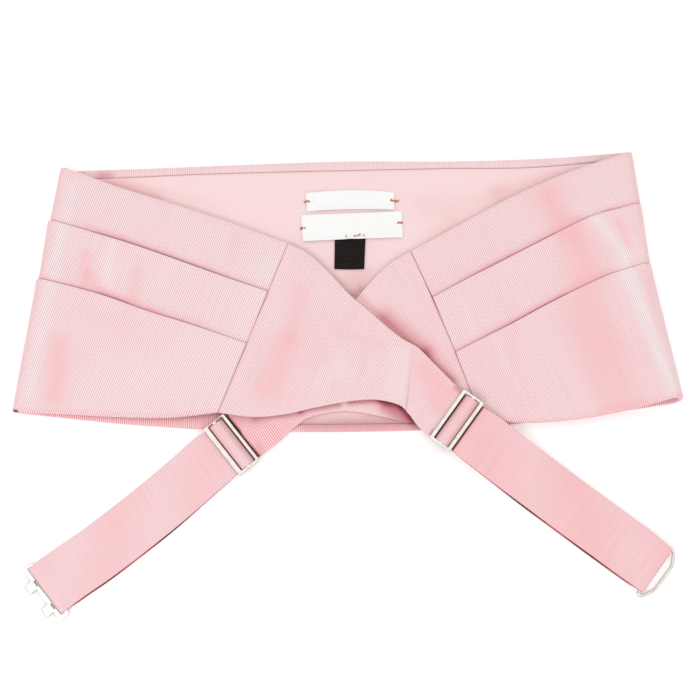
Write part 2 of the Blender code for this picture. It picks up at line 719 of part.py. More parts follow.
def end_points(frame, points):
    """Points given as out, across and height from a strap's end, placed in the garment."""
    middle, out, aside = frame
    points = np.asarray(points, float)
    plan = middle + points[:, :1] * out + points[:, 1:2] * aside
    return np.column_stack([plan, points[:, 2]])


def make_hook_plate(slider, table):
    """The hook plate: a slotted plate round the strap's end, and two tongues that curl back under it."""
    frame = end_frame(slider, table)
    middle_height = STRAP_WALL / 2 + LOOP_RADIUS
    front = SEAM_GAP
    back = front - PLATE_SLOT
    opening = (front + ROOT_OPENING[0], front + ROOT_OPENING[1])
    out_cuts = (back - PLATE_BAR, back, front, *opening, front + PLATE_RAIL)
    half = ROOT_OPENING_WIDTH / 2
    roots = [place + side * half for place in TONGUE_PLACES for side in (-1, 1)]
    across_cuts = (PLATE_SIDES[0], PLATE_SLOT_SIDES[0], *roots, PLATE_SLOT_SIDES[1], PLATE_SIDES[1])
    holes = {(1, 1), (1, 2), (1, 3), (1, 4), (1, 5), (3, 2), (3, 4)}
    points, faces = plate_mesh(out_cuts, across_cuts, holes, PLATE_THICKNESS)
    points[:, 2] += middle_height - PLATE_THICKNESS / 2
    plate = object_of("hook_plate", end_points(frame, points), faces, NICKEL)
    turn = np.linspace(math.pi / 2, -math.pi / 2, TONGUE_STEPS + 1)
    curl = TONGUE_REACH - PLATE_THICKNESS / 2 - TONGUE_RADIUS
    bend_out = curl + TONGUE_RADIUS * np.cos(turn)
    bend_height = middle_height - TONGUE_RADIUS * (1 - np.sin(turn))
    bend = np.stack([bend_out, bend_height], axis=-1)
    start = (front + TONGUE_ROOT, middle_height)
    end = (TONGUE_RETURN, middle_height - 2 * TONGUE_RADIUS)
    side_view = np.array([start, *bend, end])
    tangent = unit(spread(side_view, 0))
    normal = np.stack([-tangent[:, 1], tangent[:, 0]], axis=-1) * TONGUE_THICKNESS / 2
    for number, place in enumerate(TONGUE_PLACES):
        columns = []
        for face, side in ((1, -1), (1, 1), (-1, 1), (-1, -1)):
            shifted = side_view + face * normal
            across = np.full(len(shifted), place + side * TONGUE_WIDTH / 2)
            columns.append(end_points(frame, np.column_stack([shifted[:, 0], across, shifted[:, 1]])))
        tongue = loft(f"tongue_{number}", np.stack(columns, axis=1), NICKEL)
        tongue.hide_render = True
        tongue.display_type = "WIRE"
        join = plate.modifiers.new(f"tongue_{number}", "BOOLEAN")
        join.operation = "UNION"
        join.object = tongue


def rounded_corners(corners, bend, steps):
    """A closed line through the corners, each one cut short by bend and rounded over a few steps."""
    corners = np.asarray(corners, float)
    found = []
    for index, corner in enumerate(corners):
        before = corners[index - 1] - corner
        after = corners[(index + 1) % len(corners)] - corner
        cut = min(bend, WIRE_BEND_SHARE * np.linalg.norm(before), WIRE_BEND_SHARE * np.linalg.norm(after))
        start = corner + unit(before) * cut
        end = corner + unit(after) * cut
        for t in np.linspace(0.0, 1.0, steps):
            found.append((1 - t) ** 2 * start + 2 * t * (1 - t) * corner + t**2 * end)
    return np.array(found)


def make_wire_eye(slider, table):
    """The wire eye: a round wire bent to a closed loop that passes through the strap's end."""
    frame = end_frame(slider, table)
    corners = [(corner.out, corner.across) for corner in WIRE_CORNERS]
    line = rounded_corners(corners, WIRE_BEND, WIRE_BEND_STEPS)
    apart = np.linalg.norm(line - np.roll(line, 1, axis=0), axis=1) > SAME_POINT
    line = line[apart]
    tangent = unit(np.roll(line, -1, axis=0) - np.roll(line, 1, axis=0))
    side = np.stack([-tangent[:, 1], tangent[:, 0]], axis=-1)
    height = STRAP_WALL / 2 + LOOP_RADIUS
    columns = []
    for angle in np.arange(WIRE_SIDES) * 2 * math.pi / WIRE_SIDES:
        plan = line + side * WIRE_RADIUS * math.cos(angle)
        level = np.full(len(line), height + WIRE_RADIUS * math.sin(angle))
        columns.append(end_points(frame, np.column_stack([plan, level])))
    loft("wire_eye", np.stack(columns, axis=1), NICKEL, endless=True)


def make_label(name, corners, finish):
    """A label: a flat piece just above the lining."""
    bottom = LINING_TOP + SEAM_GAP
    plan = np.array(corners)
    rings = [np.column_stack([plan, np.full(len(plan), level)]) for level in (bottom, bottom + LABEL_WALL)]
    loft(name, np.array(rings), finish)


def main():
    """Builds every piece."""
    clear_scene()
    make_panel()
    make_yoke("left_yoke", LEFT_WING, 1.0, LEFT_YOKE, RIGHT_SLIDER)
    make_yoke("right_yoke", RIGHT_WING, -1.0, RIGHT_YOKE, LEFT_SLIDER)
    make_strap("left_strap", LEFT_SLIDER, LEFT_ROUTE, LEFT_FLOOR, 0.0, LEFT_UNDER_SHIFT)
    make_strap("right_strap", RIGHT_SLIDER, RIGHT_ROUTE, RIGHT_FLOOR, EYE_NARROWING, RIGHT_UNDER_SHIFT)
    make_slider("left_slider", LEFT_SLIDER)
    make_slider("right_slider", RIGHT_SLIDER)
    make_hook_plate(LEFT_SLIDER, LEFT_ROUTE)
    make_wire_eye(RIGHT_SLIDER, RIGHT_ROUTE)
    make_label("upper_label", UPPER_LABEL, WHITE_SATIN)
    make_label("main_label", MAIN_LABEL, WHITE_SATIN)
    make_label("care_label", CARE_LABEL, BLACK_TAPE)


main()
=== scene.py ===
"""The looks of a pleated silk cummerbund: it lies with its pleats down, its ends folded over and its straps
crossed.

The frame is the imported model's: X along the garment, Y from its lower edge to its upper edge, Z up, the
table at z = 0. Sizes in the tables are millimetres, and each mesh is scaled to metres as it is made. Every
cloth piece is a closed shell on a grid: rows run along the garment, and the points of one row are the
outline of the cloth's cut. Words: a rail is one of the panel's four lines (upper edge, two pleats, lower
edge); a level is a distance out from the panel's inner face; a stroke is a soft mark along a line.
"""

import json
import logging
import math
from dataclasses import dataclass
from enum import Enum
from typing import NamedTuple

import bmesh
import bpy
import numpy as np
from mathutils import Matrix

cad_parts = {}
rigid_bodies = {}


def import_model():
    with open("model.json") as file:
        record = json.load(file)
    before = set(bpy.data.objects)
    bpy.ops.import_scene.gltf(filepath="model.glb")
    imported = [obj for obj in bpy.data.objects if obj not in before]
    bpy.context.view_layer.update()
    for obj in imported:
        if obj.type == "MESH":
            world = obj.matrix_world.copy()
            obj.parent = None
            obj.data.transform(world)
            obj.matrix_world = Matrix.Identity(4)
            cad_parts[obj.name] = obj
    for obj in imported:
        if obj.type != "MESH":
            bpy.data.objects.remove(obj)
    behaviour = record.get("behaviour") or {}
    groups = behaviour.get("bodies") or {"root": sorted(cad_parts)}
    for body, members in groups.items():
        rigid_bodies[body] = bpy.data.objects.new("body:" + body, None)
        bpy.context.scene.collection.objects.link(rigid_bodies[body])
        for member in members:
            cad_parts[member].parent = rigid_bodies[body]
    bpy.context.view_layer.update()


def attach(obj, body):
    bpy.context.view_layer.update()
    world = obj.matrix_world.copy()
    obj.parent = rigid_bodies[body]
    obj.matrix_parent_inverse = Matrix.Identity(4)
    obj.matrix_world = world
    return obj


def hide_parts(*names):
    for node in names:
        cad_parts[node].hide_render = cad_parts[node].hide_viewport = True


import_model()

LOG = logging.getLogger("cummerbund")
MM = 0.001
Grid = np.ndarray
Piece = bpy.types.Object
Material = bpy.types.Material
Socket = bpy.types.NodeSocket

# ---- Sizes shared by several pieces ----

OUTER_WALL = 1.0
LINING_WALL = 1.0
YOKE_WALL = 1.2
STRAP_WALL = 1.0
SEAM_GAP = 0.3
LAYER_GAP = 0.2
STITCHED_GAP = 0.08
TURNING_LEVEL = -1.4
CENTRE_HEIGHT = OUTER_WALL
LINING_TOP = CENTRE_HEIGHT + SEAM_GAP + LINING_WALL
RIB_PITCH = 1.0
STRAP_RIB_PITCH = 1.08

# Where the four rails are, from the panel's upper edge at 0 to its lower edge at 1.
PLEAT_FRACTIONS = (0.0, 0.22, 0.46, 1.0)

# The dark line beside a seam: its shade, its half width, and how far it dips for a shade of 1.
SEAM_SHADE = 0.25
SEAM_SHADE_WIDTH = 0.3
SEAM_DIP = 0.25

# How far from a seam or a fold its bow fades out.
BOW_REACH = 24.0

# The angles in degrees above which an edge is left sharp: on cloth, stamped metal and everything else.
CLOTH_SHARP = 55.0
METAL_SHARP = 20.0
PLAIN_SHARP = 60.0

# The most that a mesh keeps of a tone, a shade or the strength of its ribs.
STRONGEST_MARK = 2.5

# The extra places next to an end, in steps before it.
END_STEPS = (0.5, 0.25, 0.12, 0.05, 0.0)

# A stamped plate: the steps round its edges, how close points are merged, and how much of a side a corner's
# rounding may take.
BEVEL_STEPS = 3
MERGE_DISTANCE = 0.002
LONGEST_CUT = 0.45


class CentreSection(NamedTuple):
    """A straight cut across the middle of the panel."""

    upper_x: float
    upper_y: float
    lower_x: float
    lower_y: float


class WingSection(NamedTuple):
    """A cut across a folded-over end of the panel, with the heights of its inner face."""

    upper_x: float
    upper_y: float
    pleat1_x: float
    pleat1_y: float
    pleat2_x: float
    pleat2_y: float
    lower_x: float
    lower_y: float
    upper_height: float
    lower_height: float


class YokeSection(NamedTuple):
    """A cut across a yoke, with the heights of the cloth's middle."""

    upper_x: float
    upper_y: float
    lower_x: float
    lower_y: float
    upper_height: float
    lower_height: float


class Stroke(NamedTuple):
    """A soft mark along a straight line on the cloth: a bell curve of the distance to it, as high as its
    strength. Ribs is what the same mark adds to the contrast of the ribs."""

    start_x: float
    start_y: float
    end_x: float
    end_y: float
    half_width: float
    strength: float
    ribs: float = 0.0


def drawn(*rows: tuple) -> tuple:
    """A stroke for each row of its numbers."""
    return tuple(Stroke(*row) for row in rows)


class Hand(Enum):
    """The side of the garment that a wing belongs to; the value is its sign along X."""

    LEFT = -1.0
    RIGHT = 1.0


class Across(Enum):
    """The side of a strap's heading that its upper edge is on."""

    CLOCKWISE = -1.0
    ANTICLOCKWISE = 1.0


CENTRE = (
    CentreSection(130.0, 69.6, 149.9, -51.9),
    CentreSection(92.0, 66.7, 105.0, -58.2),
    CentreSection(46.0, 65.3, 53.0, -63.2),
    CentreSection(0.0, 65.3, 0.0, -64.9),
    CentreSection(-46.0, 63.8, -52.0, -64.4),
    CentreSection(-92.0, 61.9, -104.0, -61.4),
    CentreSection(-135.4, 60.5, -154.3, -56.2),
)
LEFT_WING = (
    WingSection(-108.5, 51.4, -114.0, 27.4, -119.0, 0.3, -130.0, -57.3, 4.7, 4.8),
    WingSection(-82.0, 43.2, -89.0, 19.0, -95.5, -8.1, -107.0, -58.5, 4.5, 4.8),
    WingSection(-55.5, 34.3, -64.0, 9.9, -71.8, -15.6, -84.0, -58.9, 4.2, 5.0),
    WingSection(-29.3, 24.6, -38.5, 1.2, -48.2, -23.6, -61.2, -56.6, 4.0, 5.4),
)
RIGHT_WING = (
    WingSection(104.5, 58.8, 111.0, 35.5, 116.5, 6.4, 127.5, -56.0, 7.2, 8.4),
    WingSection(79.5, 48.2, 86.5, 23.1, 94.0, -4.6, 105.5, -59.8, 6.0, 6.6),
    WingSection(54.0, 34.8, 62.5, 11.0, 71.5, -16.5, 83.0, -61.2, 4.9, 5.0),
    WingSection(28.6, 20.8, 37.9, -1.4, 48.1, -27.5, 61.4, -60.4, 4.0, 4.1),
)
LEFT_YOKE = (
    YokeSection(-18.9, 18.9, -44.5, -58.6, 4.6, 5.8),
    YokeSection(-8.9, 9.2, -29.6, -57.2, 4.8, 5.5),
    YokeSection(0.0, -0.5, -15.3, -53.9, 4.9, 5.0),
    YokeSection(9.4, -8.6, 0.0, -51.1, 4.8, 4.8),
    YokeSection(17.8, -16.2, 12.1, -50.4, 5.0, 5.0),
    YokeSection(25.2, -21.9, 22.6, -52.8, 4.8, 4.9),
    YokeSection(31.7, -25.7, 27.3, -57.2, 5.6, 5.3),
    YokeSection(38.7, -32.9, 31.0, -62.2, 6.2, 5.2),
    YokeSection(46.4, -41.0, 35.2, -66.4, 7.0, 4.9),
)
RIGHT_YOKE = (
    YokeSection(17.9, 14.3, 44.9, -62.6, 3.7, 3.8),
    YokeSection(9.4, 5.7, 29.2, -61.2, 3.3, 3.4),
    YokeSection(0.0, -5.4, 13.9, -57.9, 3.2, 3.2),
    YokeSection(-9.4, -15.4, 0.0, -55.6, 3.2, 3.2),
    YokeSection(-17.8, -23.5, -10.2, -56.3, 3.2, 3.2),
    YokeSection(-26.1, -31.6, -19.5, -58.8, 3.2, 3.3),
    YokeSection(-33.6, -38.6, -25.0, -62.6, 3.2, 3.3),
    YokeSection(-42.8, -46.2, -31.0, -68.1, 3.3, 3.3),
    YokeSection(-50.6, -51.7, -36.6, -72.7, 3.5, 2.9),
)

# Soft ridges (positive) and troughs (negative) in the cloth, in plan, with their rise in millimetres.
LEFT_WING_FOLDS = drawn(
    (-128.0, 50.0, -143.0, -40.0, 9.0, 0.55),
    (-118.0, 30.0, -133.0, -48.0, 6.0, -0.35),
    (-100.0, 40.0, -104.0, -10.0, 9.0, 0.4),
    (-92.0, -20.0, -86.0, -52.0, 12.0, 0.6),
    (-62.0, 28.0, -78.0, -20.0, 8.0, 0.3),
)
RIGHT_WING_FOLDS = drawn(
    (112.0, 54.0, 123.0, 14.0, 7.0, 0.5),
    (123.0, 14.0, 147.0, -42.0, 8.0, 0.9),
    (100.0, 44.0, 122.0, -46.0, 10.0, -0.7),
    (84.0, 34.0, 96.0, -30.0, 9.0, 0.45),
    (56.0, 20.0, 74.0, -40.0, 8.0, 0.25),
)
LEFT_YOKE_FOLDS = drawn(
    (26.0, -24.0, 23.0, -47.0, 3.2, 0.55),
    (31.5, -29.0, 27.5, -50.0, 2.6, -0.3),
    (-30.0, -2.0, -38.0, -36.0, 7.0, -0.25),
    (-16.0, -6.0, -22.0, -42.0, 8.0, 0.35),
    (4.0, -18.0, -2.0, -44.0, 8.0, 0.4),
    (38.0, -38.0, 42.0, -60.0, 4.0, 0.2),
)
RIGHT_YOKE_FOLDS = drawn(
    (26.0, 6.0, 38.0, -30.0, 6.0, 0.2),
    (14.0, 4.0, 24.0, -14.0, 5.0, 0.12),
)
LINING_FOLDS = drawn(
    (-60.0, 54.0, 56.0, 57.0, 3.5, 0.25),
    (-34.0, 36.0, -26.0, 52.0, 5.0, 0.2),
    (32.0, 34.0, 44.0, 54.0, 7.0, 0.25),
    (-80.0, 48.0, -50.0, 44.0, 6.0, 0.2),
    (-2.0, 10.0, 12.0, 2.0, 6.0, 0.2),
)

# How rosy the silk looks, from 0 at its palest to 1: what each mark adds to its piece's own level, and to the
# contrast of the ribs. These tones are painted light: the pale marks are painted sheen and highlights along
# ridges and folds, where the ribs stand out, and the rosy marks are painted shade beside and under other
# pieces, and places painted without sheen, where the ribs blur.
LEFT_WING_TONES = drawn(
    (-137.3, 60.0, -155.3, -52.2, 1.6, 0.34, -1.0),
    (-132.0, 52.0, -149.5, -48.3, 3.0, -0.22, 0.15),
    (-124.2, 18.4, -124.9, 5.4, 3.0, 0.4, -0.6),
    (-122.0, 8.4, -118.4, 4.4, 3.6, 0.3, -0.35),
    (-112.3, 23.2, -114.6, 5.4, 3.0, -0.2),
    (-99.7, 11.2, -101.8, -1.8, 3.2, 0.33, -0.45),
    (-123.8, 32.5, -106.7, 26.1, 1.6, 0.25, -0.4),
    (-119.3, 2.5, -89.0, -9.5, 1.6, 0.28, -0.4),
    (-135.3, -24.7, -137.4, -48.7, 6.0, 0.45, -0.6),
    (-124.1, -8.0, -93.3, -24.7, 9.0, 0.12),
    (-92.9, -43.6, -58.2, -31.8, 12.0, -0.1),
    (-52.9, 26.6, -55.6, 17.9, 3.0, 0.15),
    (-60.5, 29.5, -63.2, 20.8, 2.0, -0.08),
    (-37.7, 15.0, -43.2, 1.5, 4.0, -0.12),
    (-46.9, -4.2, -53.3, -19.5, 6.0, -0.1),
)
RIGHT_WING_TONES = drawn(
    (93.8, 46.8, 100.1, 32.2, 6.5, 0.48, -0.6),
    (118.5, 58.2, 123.8, 46.4, 9.0, -0.12),
    (132.5, 66.5, 137.6, 34.5, 1.5, 0.2, -0.8),
    (138.2, 9.5, 141.8, -17.0, 2.2, 0.3, -0.9),
    (143.5, -20.0, 152.6, -49.8, 2.0, 0.3, -0.9),
    (105.5, 26.2, 111.2, 7.7, 8.5, 0.42, -0.5),
    (114.1, 37.5, 129.5, 17.7, 3.2, -0.38, 0.1),
    (125.8, 34.1, 131.5, 21.5, 2.0, 0.35, -0.4),
    (133.0, 24.9, 136.6, 17.2, 2.0, -0.15),
    (60.6, -31.8, 69.6, -53.0, 14.0, 0.1),
    (68.7, -21.4, 71.3, -32.7, 2.0, -0.1),
    (75.2, -22.3, 77.3, -34.6, 2.0, 0.1),
    (110.9, -10.9, 121.3, -44.0, 13.0, 0.44, -0.55),
    (128.4, 12.4, 149.9, -45.0, 4.0, -0.5, 0.15),
    (115.4, -55.2, 135.8, -51.5, 1.6, 0.3),
)
LEFT_YOKE_TONES = drawn(
    (-29.7, 15.0, -38.4, -12.8, 6.0, -0.1),
    (-23.5, 1.5, -28.0, -20.4, 4.5, 0.28, -0.3),
    (-30.3, -24.7, -38.1, -43.6, 6.5, 0.34, -0.45),
    (-22.4, -27.1, -27.9, -43.6, 10.0, 0.1),
    (-17.7, -43.6, -2.3, -35.6, 4.0, -0.14),
    (-7.0, -18.0, 13.1, -23.7, 2.5, 0.16, -0.2),
    (-5.6, -28.0, -3.7, -39.3, 3.0, -0.1),
    (6.5, -27.1, 6.1, -37.0, 1.8, 0.14),
    (22.4, -27.1, 19.5, -45.9, 4.0, -0.2),
    (27.1, -27.1, 23.7, -49.7, 1.6, -0.2, -0.3),
    (29.5, -25.2, 26.3, -52.0, 1.1, 0.2, -0.9),
    (35.3, -37.6, 45.4, -47.0, 6.0, 0.45, -0.45),
    (37.1, -49.7, 41.7, -55.4, 4.0, 0.28, -0.3),
)
RIGHT_YOKE_TONES = drawn(
    (-37.1, -65.3, -23.2, -62.5, 8.0, 0.38, 0.5),
    (-52.0, -60.0, -38.0, -72.0, 7.0, 0.6, 0.5),
    (16.4, -11.5, 42.0, -33.8, 6.0, 0.2, 0.3),
)
# The middle's turned edges: the lower strip is painted rosier, a painted shade under the wings and yokes.
CENTRE_TONES = drawn(
    (-134.0, 56.5, -72.0, 59.5, 4.0, 0.06, -0.2),
    (-60.0, 62.5, 130.0, 67.5, 5.0, -0.04, -0.35),
    (-155.0, -54.0, 150.0, -60.0, 8.0, 0.4, 0.1),
    (-112.0, -59.0, -62.0, -60.5, 5.0, 0.5),
)
# The lining's marks add to its mean, pale below 0 and rose above: painted light near its top, and painted
# shade beside the wings' edges and along its low strip.
LINING_TONES = drawn(
    (-81.2, 58.5, -14.3, 60.0, 6.0, -0.2),
    (-60.0, 40.0, 60.0, 44.0, 12.0, -0.1),
    (-118.0, 55.0, -92.0, 47.0, 3.5, 0.6),
    (-50.0, 26.0, -8.0, 0.0, 7.0, 0.25),
    (50.0, 30.0, 8.0, -2.0, 9.0, 0.4),
    (0.0, 14.0, 4.0, 0.0, 14.0, 0.4),
    (36.0, 44.0, 70.0, 46.0, 9.0, 0.45),
    (-110.0, 56.0, -60.0, 42.0, 4.0, 0.3),
    (110.0, 62.0, 70.0, 50.0, 4.0, 0.3),
    (-60.0, -58.0, 60.0, -60.0, 6.0, 0.5),
)

# How deep the cloth lies in shade beside and under other pieces, from 0 to 1. A negative mark takes away some
# of the shade that a pleat has of its own.
LEFT_YOKE_SHADES = drawn(
    (48.7, -45.2, 51.4, -47.6, 1.0, 0.3),
    (36.9, -66.6, 38.4, -64.2, 0.6, 0.25),
)
RIGHT_YOKE_SHADES = drawn(
    (16.4, -11.5, 35.1, -27.7, 4.5, 0.27),
    (35.1, -27.7, 47.5, -40.9, 3.0, 0.22),
    (4.7, -1.4, 47.5, -41.4, 1.5, 0.18),
    (-23.2, -55.5, -5.0, -52.5, 1.5, 0.33),
    (-44.0, -58.8, -23.0, -56.2, 1.8, 0.26),
    (0.0, -51.3, 13.0, -50.4, 1.6, 0.4),
    (15.5, -50.2, 23.5, -52.4, 1.9, 0.6),
    (24.5, -53.4, 30.2, -60.0, 1.9, 0.55),
    (17.0, -53.0, 28.0, -60.5, 4.0, 0.42),
    (-42.6, -71.4, -40.7, -76.0, 1.6, 0.15),
    (-56.0, -59.0, -44.0, -60.0, 2.5, 0.12),
    (-57.6, -58.3, -40.7, -78.3, 0.7, 1.0),
    (-58.5, -57.8, -51.9, -65.3, 1.3, 1.0),
)
PANEL_SHADES = drawn(
    (-67.4, -62.1, -58.6, -57.8, 0.8, 1.0),
    (-119.0, 58.6, -114.5, 58.0, 1.8, 0.26),
    (-20.0, -63.5, 28.0, -62.5, 3.0, 0.18),
    (-105.0, -58.6, -62.0, -58.6, 1.6, 0.12),
    (30.0, -61.5, 33.0, -64.0, 1.5, 0.35),
)
LEFT_WING_SHADES = drawn(
    (-155.6, -55.8, -154.6, -56.0, 0.7, 1.0),
    (-141.0, 36.8, -122.0, 31.0, 1.5, -0.12),
    (-138.0, 8.0, -119.0, 1.8, 1.5, -0.2),
    (-102.0, -5.2, -50.0, -23.4, 1.5, -0.17),
)
RIGHT_WING_SHADES = drawn(
    (78.0, 19.0, 97.0, 29.5, 1.5, -0.07),
    (98.0, 30.0, 118.0, 38.2, 1.5, -0.2),
    (102.0, 0.5, 138.0, 15.0, 1.5, -0.2),
)
LINING_SHADES = drawn(
    (0.9, -1.0, 5.7, 2.3, 2.2, 0.5),
    (-3.0, 4.0, 7.0, 8.0, 5.0, 0.15),
    (-23.2, -63.2, 27.9, -61.3, 4.0, 0.6),
)

# The widths of the turned-over edges against the place along the panel, in the part that shows.
UPPER_TURNING = (
    (-134.0, 4.3), (-115.0, 4.2), (-76.0, 3.8), (0.0, 4.6),
    (47.0, 3.4), (81.0, 4.2), (112.0, 3.8), (130.0, 3.8),
)
LOWER_TURNING = (
    (-153.0, 5.6), (-100.0, 6.5), (-75.0, 7.8), (-58.0, 7.8),
    (-45.0, 5.0), (-30.0, 3.6), (40.0, 3.4), (150.0, 4.0),
)


# ---- Working with curves and grids ----


def unit(vectors: Grid) -> Grid:
    """The vectors, each of length 1."""
    return vectors / np.maximum(np.linalg.norm(vectors, axis=-1, keepdims=True), 1e-12)


def smooth_step(x: Grid) -> Grid:
    """0 below 0, 1 above 1, and 3x^2 - 2x^3 between."""
    x = np.clip(x, 0.0, 1.0)
    return x * x * (3 - 2 * x)


def direction(degrees: float) -> Grid:
    """The plan direction at an angle from X."""
    return np.array([math.cos(math.radians(degrees)), math.sin(math.radians(degrees))])


def rising(x: Grid, start: float, length: float) -> Grid:
    """A smooth rise from 0 at start to 1 a length further on."""
    return smooth_step((x - start) / length)


def square_to(vectors: Grid) -> Grid:
    """Plane vectors, each a quarter turn anticlockwise."""
    return np.stack([-vectors[..., 1], vectors[..., 0]], axis=-1)


def turned_to(plan: Grid, degrees: float) -> Grid:
    """Plan points, measured along an angle from X and square to it."""
    return np.stack([plan @ direction(degrees), plan @ direction(degrees + 90.0)], axis=-1)


def curve_at(rows: Grid, places: Grid) -> Grid:
    """Catmull-Rom curves through rows of numbers.

    Args:
        rows: the numbers that the curves pass through, one row for each knot.
        places: where to read them, counted in rows.

    Returns:
        One row for each place: the cubic whose slopes at two knots are those of the chords across them.
    """
    rows = np.asarray(rows, float)
    before = np.concatenate([2 * rows[:1] - rows[1:2], rows[:-1]])
    after = np.concatenate([rows[1:], 2 * rows[-1:] - rows[-2:-1]])
    slopes = (after - before) / 2
    index = np.clip(np.floor(places).astype(int), 0, len(rows) - 2)
    t = (places - index).reshape(-1, *[1] * (rows.ndim - 1))
    return (
        (2 * t**3 - 3 * t**2 + 1) * rows[index]
        + (t**3 - 2 * t**2 + t) * slopes[index]
        + (3 * t**2 - 2 * t**3) * rows[index + 1]
        + (t**3 - t**2) * slopes[index + 1]
    )


def strokes_at(strokes: tuple, x: Grid, y: Grid, what: str = "strength") -> Grid:
    """The sum of the strokes at each point of the cloth.

    Args:
        strokes: the marks to add up.
        x, y: where the points are in plan.
        what: which of a stroke's numbers to read, "strength" or "ribs".

    Returns:
        The sum of that number times e to the minus (distance to the stroke's line over its half width)
        squared.
    """
    total = np.zeros_like(x)
    for stroke in strokes:
        run_x = stroke.end_x - stroke.start_x
        run_y = stroke.end_y - stroke.start_y
        part = ((x - stroke.start_x) * run_x + (y - stroke.start_y) * run_y) / (run_x**2 + run_y**2)
        part = np.clip(part, 0.0, 1.0)
        off_x = x - stroke.start_x - part * run_x
        off_y = y - stroke.start_y - part * run_y
        total += getattr(stroke, what) * np.exp(-(off_x**2 + off_y**2) / stroke.half_width**2)
    return total


def seam_shade(distance: Grid) -> Grid:
    """The dark line beside a seam: its shade times e to the minus (distance over its half width) squared."""
    return SEAM_SHADE * np.exp(-((distance / SEAM_SHADE_WIDTH) ** 2))


def close_to_end(count: int, step: float) -> Grid:
    """Places from 0 to 1, evenly spaced but for a few extra ones just short of 1."""
    even = np.linspace(0.0, 1.0, count)[:-1]
    return np.concatenate([even, 1.0 - step * np.array(END_STEPS)])


class Cut(NamedTuple):
    """The outline of a cloth cut with round edges: where each point is across, and how far out."""

    share: Grid
    offset: Grid
    rise: Grid


def round_cut(across: int, edge: int) -> Cut:
    """The outline of a sheet cut across: half circles at both edges and even steps between.

    Args:
        across: points between the edges on each face.
        edge: points on a quarter circle.

    Returns:
        For each point of the closed outline: share, 0 at one edge and 1 at the other; offset in from the
        edge in half walls, signed towards the far edge; rise, from 1 on the upper face to -1 on the lower.
    """
    turn = np.linspace(0.0, math.pi / 2, edge)
    inner = np.linspace(0.0, 1.0, across + 2)[1:-1]
    share = np.concatenate([np.zeros(edge), inner, np.ones(edge)])
    offset = np.concatenate([1 - np.cos(turn), np.zeros(across), -(1 - np.cos(turn[::-1]))])
    rise = np.concatenate([np.sin(turn), np.ones(across), np.sin(turn[::-1])])
    inset = np.concatenate([np.zeros(edge), 1 - 2 * inner, np.zeros(edge)])
    offset = offset + inset
    return Cut(
        np.concatenate([share, share[-2:0:-1]]),
        np.concatenate([offset, offset[-2:0:-1]]),
        np.concatenate([rise, -rise[-2:0:-1]]),
    )


def thickened(path: Grid, cut: Cut, wall: float) -> Grid:
    """A strip's side view given its thickness: each point of the path, moved along its normal by the cut's
    rise times half the wall."""
    normal = square_to(unit(np.gradient(path, axis=0))) * wall / 2
    return path[:, None] + cut.rise[None, :, None] * normal[:, None]


def ring_faces(rings: Grid, endless: bool = False) -> list:
    """The faces of a shell: quads between neighbouring points of neighbouring rings.

    Args:
        rings: its rings of points.
        endless: whether the last ring joins the first; if not, a face closes each end.

    Returns:
        The numbers of each face's points.
    """
    rows, points = rings.shape[:2]
    starts = np.arange(rows if endless else rows - 1)
    row, point = np.meshgrid(starts, np.arange(points), indexing="ij")
    here = row * points
    after = (row + 1) % rows * points
    beside = (point + 1) % points
    quads = np.stack([here + point, here + beside, after + beside, after + point], axis=-1)
    found = quads.reshape(-1, 4).tolist()
    if not endless:
        found.append(list(range(points)))
        found.append(list(range((rows - 1) * points, rows * points)))
    return found


@dataclass
class Shell:
    """A closed shell before it is a mesh: its rings of points in millimetres, the place of each point on
    the flat cloth, its tone and shade, and how strongly its ribs show."""

    rings: Grid
    laid: Grid
    tone: Grid
    shade: Grid
    ribs: Grid | float = 1.0

    def object(self, name: str, material: Material) -> Piece:
        """The shell as a mesh object, with its UV map "cloth" in metres and its "tone", "shade" and "ribs".

        Args:
            name: the piece's name.
            material: what it is dressed in.

        Returns:
            The object, at the origin, its faces turned outwards.
        """
        faces = ring_faces(self.rings)
        obj = mesh_object(name, self.rings.reshape(-1, 3), faces, material, CLOTH_SHARP)
        map_cloth(obj.data, self.laid.reshape(-1, 2))
        for label, values in (("tone", self.tone), ("shade", self.shade), ("ribs", self.ribs)):
            marks = obj.data.attributes.new(label, "FLOAT", "POINT")
            level = np.clip(np.broadcast_to(values, self.rings.shape[:2]), 0.0, STRONGEST_MARK)
            marks.data.foreach_set("value", level.astype(np.float32).ravel())
        return obj


def map_cloth(mesh: bpy.types.Mesh, laid: Grid) -> None:
    """Adds the UV map "cloth" to a mesh: in metres, each point's place on the flat cloth."""
    corner = np.empty(len(mesh.loops), dtype=np.int32)
    mesh.loops.foreach_get("vertex_index", corner)
    layer = mesh.uv_layers.new(name="cloth")
    layer.data.foreach_set("uv", (laid * MM)[corner].astype(np.float32).ravel())


def mesh_object(name: str, points: Grid, faces: list, material: Material, sharp: float) -> Piece:
    """A smooth-shaded mesh object.

    Args:
        name: the piece's name.
        points: its points in millimetres.
        faces: the numbers of each face's points.
        material: what it is dressed in.
        sharp: the angle in degrees above which an edge is left sharp.

    Returns:
        The object, at the origin, its normals turned outwards.
    """
    mesh = bpy.data.meshes.new(name)
    mesh.from_pydata((np.asarray(points, float) * MM).tolist(), [], faces)
    shape = bmesh.new()
    shape.from_mesh(mesh)
    bmesh.ops.recalc_face_normals(shape, faces=shape.faces)
    shape.to_mesh(mesh)
    shape.free()
    mesh.shade_smooth()
    mesh.set_sharp_from_angle(angle=math.radians(sharp))
    mesh.materials.append(material)
    obj = bpy.data.objects.new(name, mesh)
    bpy.context.scene.collection.objects.link(obj)
    return obj


# ---- Finishes ----


